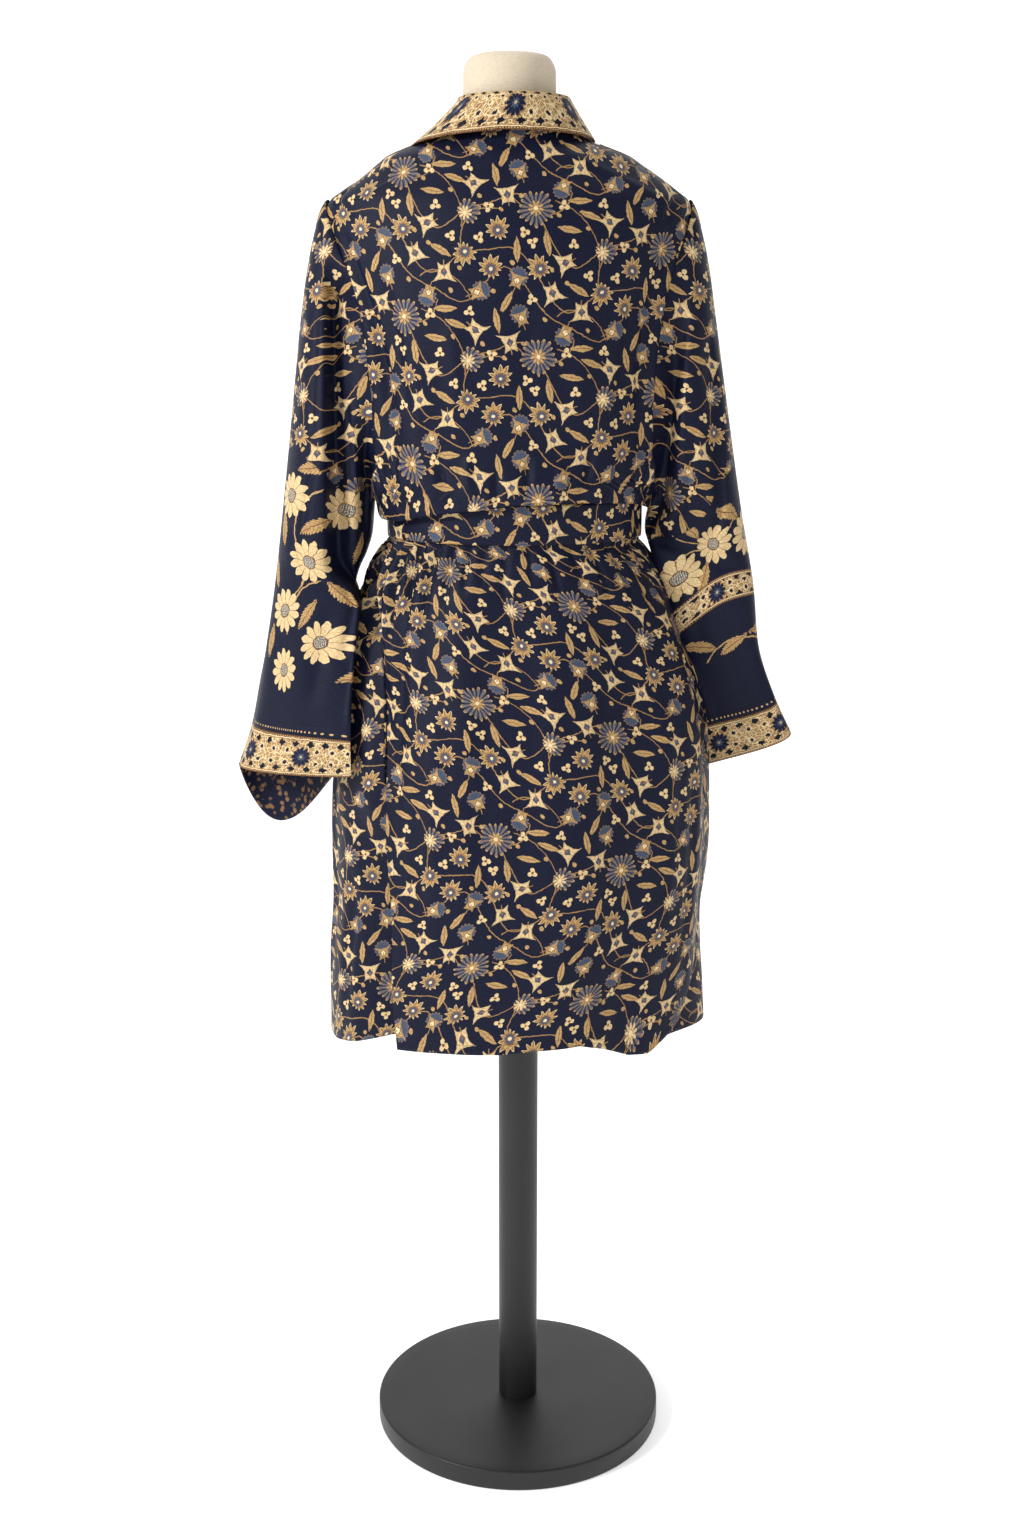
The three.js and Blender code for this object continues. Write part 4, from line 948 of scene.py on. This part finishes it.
def printColour(f, cut, grain):
    # motifs over navy, drawn one after another on the flat cloth
    slant = repeat["shear"] / repeat["width"]
    x, y = f.split(cut)[:2]
    place = f.node("CombineXYZ", None, [x, y - x * slant])
    span = (repeat["width"], repeat["height"])
    sheared = {}
    for kind, sites in motifs.items():
        sheared[kind] = [(sx, sy - slant * sx, turn) for sx, sy, turn in sites]
    colour = f.mix(grain, inks["night"], inks["navy"])
    gold = f.mix(grain, inks["tan"], inks["gold"])
    bright = f.mix(grain, inks["gold"], inks["cream"])

    # height over a vine: y - (h + a sin(kx + p) + b sin(2kx + q)), divided by its slope's length
    line = None
    around = x * (2 * math.pi / repeat["width"])
    for height, big, bigPhase, low, lowPhase in vines:
        bigPhase, lowPhase = math.radians(bigPhase), math.radians(lowPhase)
        curve = (around + bigPhase).math("SINE") * big + (around * 2 + lowPhase).math("SINE") * low + height
        slope = (around + bigPhase).math("COSINE") * big
        slope = slope + (around * 2 + lowPhase).math("COSINE") * (2 * low)
        slope = slope.times(2 * math.pi / repeat["width"], slant)
        off = (y - x * slant - curve).math("WRAP", repeat["height"] / 2, -repeat["height"] / 2)
        near = 0.55 - abs(off) / (slope * slope + 1).math("SQRT")
        line = near if line is None else line.math("MAXIMUM", near)
    for vx, vy, radius, turn, half in stems:
        offset = nearestSite(f, place, [(vx, vy - slant * vx, 0)], span)
        line = line.math("MAXIMUM", arcStroke(f, offset, radius, turn, half, 0.5))
    colour = f.mix(fill(line), colour, inks["tan"])

    size, angle = aroundSite(f, nearestSite(f, place, sheared["leaf"], span), slant)
    u, v = size * angle.math("COSINE"), abs(size * angle.math("SINE"))
    length = motifSize["leaf"]
    half = (u * u).times(-3.4 / length ** 2, 3.4)
    colour = f.mix(fill(half - v), colour, gold)
    colour = f.mix(fill(half * 0.12 - v) * 0.8, colour, inks["rust"])

    size, angle = aroundSite(f, nearestSite(f, place, sheared["star"], span), slant)
    edge = petals(angle, 3, 0.3)[0]
    colour = f.mix(fill(edge * motifSize["star"] - size), colour, bright)
    colour = f.mix(fill(1.3 - size), colour, inks["rust"])
    size = f.vector("LENGTH", nearestSite(f, place, sheared["dot"], span), output=1)
    colour = f.mix(fill(motifSize["dot"] - size), colour, gold)

    for kind in ("bell", "tulip"):
        radius = motifSize[kind]
        size, angle = aroundSite(f, nearestSite(f, place, sheared[kind], span), slant)
        u, v = size * angle.math("COSINE"), abs(size * angle.math("SINE"))
        if kind == "bell":      # scalloped hood over a small cup
            ahead = u - 0.4 * radius
            hoodSize = (ahead * ahead + v * v).math("SQRT")
            hoodAngle = v.math("ARCTAN2", ahead)
            scallop, ripple = petals(hoodAngle, 14, 0.78)
            hood = scallop * (0.8 * radius) - hoodSize
            colour = f.mix(fill(hood), colour, inks["blue"])
            colour = f.mix(fill(0.22 - ripple, 0.16) * fill(hood), colour, inks["night"])
            colour = f.mix(fill(0.34 - abs(hood - 0.4)) * 0.8, colour, inks["tan"])
        # square with drawn-out corners, wider at its front: half - max(|u|, |w|) - |u^2 - w^2| * bend
        half = (0.8 if kind == "tulip" else 0.6) * radius
        wide = v * u.times(-0.45 / radius, 1.12)
        waist = abs(u * u - wide * wide) * (0.75 / radius)
        cup = half - abs(u).math("MAXIMUM", wide) - waist
        colour = f.mix(fill(cup), colour, bright if kind == "tulip" else gold)
        colour = f.mix(fill(0.28 - abs(cup - 1.3)) * 0.75, colour, inks["rust"])
        ribs = abs((v.math("ARCTAN2", u + radius) * 14).math("SINE"))
        colour = f.mix(fill(0.2 - ribs, 0.2) * fill(cup - 1.6) * 0.5, colour, inks["rust"])
        heart = 0.24 * radius - abs(u) * 0.8 - v
        colour = f.mix(fill(heart + 0.9), colour, inks["rust"])
        colour = f.mix(fill(heart), colour, inks["cream" if kind == "bell" else "blue"])
        colour = f.mix(fill(0.45 - v) * fill(u * -1) * fill(0.95 * radius - size), colour, inks["tan"])

    radius = motifSize["flower"]
    size, angle = aroundSite(f, nearestSite(f, place, sheared["flower"], span), slant)
    # pointed petals, longer on one side: low + (1 - low) * (1 - |sin|)
    spike = (1 - abs((angle * 5.5).math("SINE"))).math("POWER", 0.75)
    edge = spike.times(0.36, 0.64) * (angle.math("COSINE").times(0.2, 0.86) + (angle * 3).math("SINE") * 0.07)
    rim = edge * radius - size
    colour = f.mix(fill(rim), colour, gold)
    colour = f.mix(fill(spike - 0.78, 0.08) * fill(rim - 1.2) * 0.75, colour, inks["rust"])
    colour = f.mix(fill(rim) * fill(1.3 - rim) * fill(spike - 0.5, 0.2) * 0.8, colour, inks["cream"])
    inner = spike.times(-0.2, 0.5) * radius - size
    colour = f.mix(fill(inner) * 0.85, colour, inks["rust"])
    colour = f.mix(fill(inner - 1.4), colour, inks["blue"])
    colour = f.mix(fill(0.13 * radius - size), colour, inks["cream"])

    for kind, count in (("side", 15), ("daisy", 18)):
        radius = motifSize[kind]
        size, angle = aroundSite(f, nearestSite(f, place, sheared[kind], span), slant)
        edge, ripple = petals(angle, count, 0.66)
        edge = edge * ((angle * 5 + 1).math("SINE").times(0.08, 0.94))
        if kind == "side":      # shorter petals on one side
            edge = edge * (angle.math("COSINE").times(0.3, 0.7))
        rim = edge * radius - size
        colour = f.mix(fill(rim) * 0.92, colour, inks["blue"])
        colour = f.mix(fill(0.3 - ripple, 0.16) * fill(rim), colour, inks["night"])
        colour = f.mix(fill(ripple - 0.94, 0.06) * fill(rim) * 0.8, colour, inks["tan"])
        colour = f.mix(fill(rim) * fill(1.1 - rim) * fill(ripple - 0.6, 0.2) * 0.8, colour, inks["gold"])
        edge, ripple = petals(angle, 9, 0.4)
        colour = f.mix(fill(edge * (0.42 * radius) - size), colour, bright if kind == "side" else gold)
        colour = f.mix(fill(0.3 - ripple, 0.1) * fill(0.34 * radius - size), colour, inks["rust"])
        colour = f.mix(fill(0.11 * radius - size), colour, inks["cream"])
    return colour


def silkStart(name):
    # place on the cut in millimetres, wavered a little as a hand printed edge is, and a soft grain
    f = Finish(name)
    place = f.flatPlace("cut")
    waver = f.noise(place, 0.22, 1.0, "Color")
    waver = f.vector("MULTIPLY_ADD", waver, (2.2, 2.2, 0), (-1.1, -1.1, 0))
    grain = f.noise(place, 0.45)
    return f, place, f.vector("ADD", place, waver), grain.times(2.4, -0.7, clamp=True)


def silkEnd(f, place, colour, roughness=0.46):
    # fine weave and slight slubs in the normal, a stitched line above the hem, uneven gloss
    x, y = f.split(place)[:2]
    weave = (x * 14).math("SINE") * (y * 14).math("SINE")
    slubs = f.noise(f.vector("MULTIPLY", place, (0.16, 0.9, 1)), 1.0)
    fromHem = f.split(f.flatPlace("edge"))[0]
    stitch = fill(0.5 - abs(fromHem - 11), 0.5)
    dash = fill((x * 2.4).math("SINE") + 0.6, 0.6)
    height = slubs.times(0.5, weave * 0.12) - stitch * 0.9
    normal = f.bump(height, 0.0004, 0.55)
    colour = f.mix(stitch * dash * 0.55, colour, inks["night"])
    gloss = slubs.times(0.16, roughness - 0.08)
    return f.end(Base_Color=colour, Roughness=gloss, Normal=normal, Specular_IOR_Level=0.14)


def makePrintSilk():
    f, place, wavered, grain = silkStart("print_silk")
    return silkEnd(f, place, printColour(f, wavered, grain))


def makeSilkInside():
    # the print's wrong side: the same ground with the inks dulled
    f = Finish("silk_inside")
    place = f.node("TexCoord", None, (), "Object")
    blots = f.cells(place, 130.0, 1.0)
    grain = f.noise(place, 160.0)
    colour = f.mix(grain, inks["night"], inks["navy"])
    colour = f.mix(fill(0.1 - blots + grain * 0.5, 0.2) * 0.6, colour, inks["tan"])
    return f.end(Base_Color=colour, Roughness=grain.times(0.15, 0.46), Normal=f.bump(grain, 0.0003, 0.3),
                 Specular_IOR_Level=0.12)


# the border: width of one strip, spacing of its rosettes
border = dict(width=45, spacing=74, rosette=11.5)


def borderColour(f, across, along, grain, wide):
    # gold filigree with rosettes on the middle line, leaves beside them and ruled lines at both edges
    middle = abs(across - wide / 2)
    spacing = border["spacing"]
    place = f.node("CombineXYZ", None, [across, along])
    warp = f.noise(place, 0.1, 1.0, "Color")
    warped = f.vector("MULTIPLY_ADD", warp, (5, 5, 0), place)
    cells = f.cells(warped, 0.22, 0.9, "DISTANCE_TO_EDGE")
    rings = f.cells(warped, 0.22, 0.9)
    speck = f.noise(place, 0.8)
    colour = f.mix(speck.times(3.0, -1.0, clamp=True), inks["rust"], inks["tan"])
    colour = f.mix(fill((rings * 24).math("SINE") - 0.1, 0.6) * 0.8, colour, inks["gold"])
    colour = f.mix(fill(0.06 - cells, 0.05), colour, inks["cream"])
    colour = f.mix(fill(0.13 - rings, 0.06), colour, inks["cream"])

    beside = along.math("WRAP", spacing / 2, -spacing / 2)
    size = (beside * beside + middle * middle).math("SQRT")
    angle = beside.math("ARCTAN2", across - wide / 2)
    edge, ripple = petals(angle, 12, 0.72)
    rim = edge * border["rosette"] + grain * 2.2 - 1.1 - size
    colour = f.mix(fill(rim + 1.6) * 0.6, colour, inks["rust"])
    colour = f.mix(fill(rim), colour, inks["navy"])
    colour = f.mix(fill(0.22 - ripple, 0.12) * fill(rim) * 0.5, colour, inks["blue"])
    edge = petals(angle, 8, 0.5)[0]
    colour = f.mix(fill(edge * 4.6 - size), colour, inks["blue"])
    colour = f.mix(fill(1.5 - size), colour, inks["gold"])

    away = fill(size - border["rosette"] - 2.6)
    quarter = (along + spacing / 8).math("WRAP", spacing / 8, -spacing / 8)
    leaf = grain * 2.4 + 2.6 - abs(quarter) * 0.8 - abs(middle - wide * 0.325)
    colour = f.mix(fill(leaf) * away, colour, inks["night"])
    eighth = along.math("WRAP", spacing / 8, -spacing / 8)
    off = middle - wide * 0.16
    drop = grain * 1.6 + 1.3 - (eighth * eighth + off * off).math("SQRT")
    colour = f.mix(fill(drop) * away, colour, inks["navy"])
    ringed = 0.45 - abs(drop + 1.2)
    colour = f.mix(fill(ringed) * away, colour, inks["cream"])

    rail = middle - (wide / 2 - 4.2)
    colour = f.mix(fill(rail), colour, inks["gold"])
    for place, half, tone in ((0.3, 0.3, "rust"), (1.2, 0.45, "cream"), (2.1, 0.3, "rust"),
                              (3.7, 0.5, "rust")):
        colour = f.mix(fill(half - abs(rail - place), 0.2), colour, inks[tone])
    beads = fill((along * 2.6).math("SINE") - 0.2, 0.5) * fill(0.5 - abs(rail - 2.9), 0.3)
    return f.mix(beads, colour, inks["night"])


def makeBorderSilk():
    f, place, wavered, grain = silkStart("border_silk")
    x, y = f.split(wavered)[:2]
    across = x.math("WRAP", border["width"], 0.0)
    return silkEnd(f, place, borderColour(f, across, y, grain, border["width"]), 0.5)


# sleeves: small print down to a wandering line, then plain navy with large blossoms; places are
# (millimetres round from the outer fold, height above the cuff, turn)
sleeveArt = dict(
    left=dict(
        start=292,
        daisies=[(44, 70, 10), (96, 104, 50), (38, 136, 80), (70, 196, 20), (40, 262, 60), (104, 262, 30),
                 (-48, 92, 0),
                 (-92, 150, 40), (-44, 206, 20), (-88, 262, 70)],
        leaves=[(74, 134, 60), (104, 160, 130), (30, 226, 100), (72, 236, 40), (128, 216, 80), (66, 296, 20),
                (-70, 122, 60), (-60, 172, 120), (-74, 228, 60), (12, 100, 80), (128, 74, 40),
                (14, 178, 110)],
        stems=[(104, 120, 58, 150, 40), (10, 200, 62, 330, 46), (110, 226, 60, 170, 46),
               (-20, 140, 60, 190, 44)]),
    right=dict(
        start=250,
        daisies=[(66, 204, 0), (18, 196, 30), (112, 178, 10), (-50, 180, 0), (-96, 206, 40)],
        leaves=[(42, 232, 50), (88, 168, 120), (92, 236, 70), (136, 150, 80), (-24, 220, 60),
                (-76, 160, 110), (-66, 232, 50),
                (60, 84, 160), (100, 92, 20), (20, 88, 10), (-40, 92, 170)],
        stems=[(70, 250, 44, 280, 60), (96, 130, 70, 60, 40), (-50, 240, 46, 260, 60), (60, 40, 50, 90, 50)]),
)
blossom = dict(radius=24.5, petals=12, leaf=20, leafHalf=6.2, stem=0.95)


def makeSleeveSilk(side):
    f, place, wavered, grain = silkStart("sleeve_silk_" + side)
    art = sleeveArt[side]
    small = printColour(f, wavered, grain)
    x, y = f.split(wavered)[:2]
    up = f.split(f.flatPlace("edge"))[0]
    spot = f.node("CombineXYZ", None, [x, up])
    wander = f.vector("MULTIPLY_ADD", f.noise(spot, 0.16, 1.0, "Color"),
                      (3, 3, 0), (-1.5, -1.5, 0))
    spot = f.vector("ADD", spot, wander)
    colour = f.mix(grain, inks["night"], inks["navy"])
    bright = f.mix(grain, inks["gold"], inks["cream"])
    gold = f.mix(grain, inks["tan"], inks["gold"])

    line = None
    for vx, vy, radius, turn, half in art["stems"]:
        offset = f.vector("SUBTRACT", spot, (vx, vy, 0))
        arc = arcStroke(f, offset, radius, turn, half, blossom["stem"])
        line = arc if line is None else line.math("MAXIMUM", arc)
    colour = f.mix(fill(line), colour, gold)

    size, angle = aroundSite(f, nearestSite(f, spot, art["leaves"]))
    u, v = size * angle.math("COSINE"), abs(size * angle.math("SINE"))
    half = (u * u).times(-blossom["leafHalf"] / blossom["leaf"] ** 2, blossom["leafHalf"])
    comb = ((u + v * 1.2) * 1.5).math("SINE")
    leaf = half - v - comb * 0.7
    colour = f.mix(fill(leaf), colour, gold)
    colour = f.mix(fill(0.45 - v) * fill(leaf), colour, inks["rust"])
    colour = f.mix(fill(comb - 0.7, 0.3) * fill(leaf) * 0.5, colour, inks["rust"])

    radius = blossom["radius"]
    size, angle = aroundSite(f, nearestSite(f, spot, art["daisies"]))
    edge, ripple = petals(angle, blossom["petals"], 0.7)
    rim = edge * radius - size
    colour = f.mix(fill(rim), colour, bright)
    colour = f.mix(fill(0.16 - ripple, 0.08) * fill(rim) * 0.85, colour, inks["rust"])
    fine = petals(angle, blossom["petals"] * 3, 0)[1]
    colour = f.mix(fill(0.14 - fine, 0.1) * fill(rim - 3) * 0.35, colour, inks["tan"])
    eye = 0.27 * radius - size
    colour = f.mix(fill(eye + 1.2), colour, inks["rust"])
    dots = f.cells(spot, 0.62, 0.2)
    colour = f.mix(fill(eye), colour, f.mix(fill(0.34 - dots, 0.1), inks["blue"], inks["cream"]))

    if side == "right":     # a ruled band of filigree that winds round the sleeve
        winding = up - (x * 0.026).math("SINE").times(22, 128)
        inside = 15 - abs(winding)
        bandColour = borderColour(f, winding + 15, x, grain, 30)
        colour = f.mix(fill(inside), colour, bandColour)
    bead = x.math("WRAP", 2.7, -2.7)
    beads = 1.1 - ((up - 4.4) * (up - 4.4) + bead * bead).math("SQRT")
    colour = f.mix(fill(beads), colour, inks["gold"])
    line = (x * 0.05).math("SINE").times(9, art["start"]) + (x * 0.021 + 1).math("SINE") * 12
    return silkEnd(f, place, f.mix(fill(up - line, 3), colour, small))


def makeFormLinen():
    # fine plain weave on the form's covered body: crossed threads with slubs
    f = Finish("form_linen")
    place = f.node("TexCoord", None, (), "Object")
    x, y, z = f.split(place)
    angle = y.math("ARCTAN2", x)
    threads = (z * 5200).math("SINE") * 0.5 + (angle * 270).math("SINE") * 0.5
    slubs = f.noise(f.vector("MULTIPLY", place, (240, 240, 900)), 1.0, 3.0)
    tone = f.noise(place, 14.0)
    colour = f.mix(tone, ink(208, 194, 170), ink(222, 209, 186))
    colour = f.mix(slubs.times(1.4, -0.55, clamp=True), colour, ink(194, 176, 150))
    return f.end(Base_Color=colour, Roughness=tone.times(0.1, 0.8),
                 Normal=f.bump(threads * 0.4 + slubs, 0.0004, 0.5),
                 Specular_IOR_Level=0.25, Sheen_Weight=0.1)


def makeStandBlack():
    # satin black paint with the faint orange peel of a powder coat and a little wear in its gloss
    f = Finish("stand_black")
    place = f.node("TexCoord", None, (), "Object")
    peel = f.noise(place, 900.0)
    cloud = f.noise(place, 11.0, 4.0)
    colour = f.mix(cloud, ink(12, 12, 13), ink(22, 22, 23))
    return f.end(Base_Color=colour, Roughness=cloud.times(0.18, 0.34) + peel * 0.06,
                 Normal=f.bump(peel, 0.0001, 0.25),
                 Specular_IOR_Level=0.5)


printSilk = makePrintSilk()
silkInside = makeSilkInside()
borderSilk = makeBorderSilk()
beltSilk = printSilk
sleeveSilk = {side: makeSleeveSilk(side) for side in ("left", "right")}
formLinen = makeFormLinen()
standBlack = makeStandBlack()
print("made the finishes")

# pieces
silkPieces = printedBody() + printedSleeves() + [collarPiece(), beltPiece(), knotPiece()]
silkPieces += [tailPiece("belt_tail_" + side, *numbers) for side, numbers in tailSizes.items()]
slots = {"band": "border_silk", "cuff": "border_silk", "collar": "border_silk", "form": "form_linen",
         "stand": "stand_black"}
form = formPiece()
poleHeights = [stand["poleFoot"], stand["poleFoot"] + 0.01, *np.linspace(60, stand["poleTop"], 12)]
poleSide = [(stand["poleRadius"], z) for z in poleHeights]
pole = turned("stand_pole", [(0.1, stand["poleFoot"]), *poleSide, (0.1, stand["poleTop"])], standBlack, 64)
foot = turned("stand_base", roundedProfile(stand["footRadius"], 0, stand["footThickness"], stand["soft"]),
              standBlack)
for piece in silkPieces + [form, pole, foot]:
    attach(piece, "root")
    node = piece.name.removesuffix("_look")
    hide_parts(node)
    slots.get(node.split("_")[0], "print_silk")
print("made", len(silkPieces) + 3, "pieces")

# floor, lights and camera
stageSize = dict(half=6.0, back=-2.6, bend=1.4, height=5.0)
# place in metres, lens and sensor in millimetres, tilt down in degrees
cameraSize = dict(place=(0.0072, 2.097, 1.3375), lens=44.8, sensor=36, tilt=14.04)


def stagePiece():
    # floor that bends up into a backdrop: flat, a quarter turn, then upright
    a = np.linspace(0, np.pi / 2, 24)
    y = np.concatenate([[stageSize["half"]], stageSize["back"] - stageSize["bend"] * np.sin(a),
                        [stageSize["back"] - stageSize["bend"]]])
    z = np.concatenate([[0.0], stageSize["bend"] * (1 - np.cos(a)), [stageSize["height"]]])
    left, right = ([(side * stageSize["half"], b, c) for b, c in zip(y, z)] for side in (-1, 1))
    count = len(y)
    faces = [(i, i + 1, count + i + 1, count + i) for i in range(count - 1)]
    mesh = bpy.data.meshes.new("floor")
    mesh.from_pydata(left + right, [], faces)
    mesh.polygons.foreach_set("use_smooth", np.ones(len(faces), bool))
    floor = placed("floor", mesh)
    f = Finish("floor")
    white = f.end(Base_Color=(0.93, 0.93, 0.93, 1), Roughness=0.7, Emission_Color=(1, 1, 1, 1),
                  Emission_Strength=0.42)
    mesh.materials.append(white)


def areaLight(name, place, aim, size, power):
    data = bpy.data.lights.new(name, "AREA")
    data.energy, data.size = power, size
    lamp = placed(name, data)
    lamp.location = place
    lamp.rotation_euler = (Vector(aim) - Vector(place)).to_track_quat("-Z", "Y").to_euler()


stagePiece()
areaLight("key", (2.5, 1.5, 2.5), (0, 0, 1.0), 0.7, 84)
areaLight("fill", (-2.4, 2.2, 1.6), (0, 0, 1.0), 1.8, 10)
areaLight("top", (0.0, -0.6, 3.6), (0, 0, 1.0), 1.8, 22)
areaLight("front", (0.4, 3.1, 1.3), (0, 0, 0.9), 1.6, 8)
world = bpy.data.worlds.new("studio")
world.use_nodes = True
tree = world.node_tree
soft, seen = tree.nodes["Background"], tree.nodes.new("ShaderNodeBackground")
mixed, path = tree.nodes.new("ShaderNodeMixShader"), tree.nodes.new("ShaderNodeLightPath")
for light, strength in ((soft, 0.42), (seen, 1.0)):      # lit softly, but seen as plain white
    light.inputs[0].default_value = (1, 1, 1, 1)
    light.inputs[1].default_value = strength
tree.links.new(path.outputs["Is Camera Ray"], mixed.inputs[0])
tree.links.new(soft.outputs[0], mixed.inputs[1])
tree.links.new(seen.outputs[0], mixed.inputs[2])
tree.links.new(mixed.outputs[0], tree.nodes["World Output"].inputs[0])
bpy.context.scene.world = world

camera = bpy.data.cameras.new("camera")
camera.lens, camera.sensor_width = cameraSize["lens"], cameraSize["sensor"]
cameraObject = placed("camera", camera)
cameraObject.location = cameraSize["place"]
cameraObject.rotation_euler = (math.radians(90 - cameraSize["tilt"]), 0, math.radians(180))
bpy.context.scene.camera = cameraObject
bpy.context.scene.view_settings.view_transform = "Standard"

print("ready")
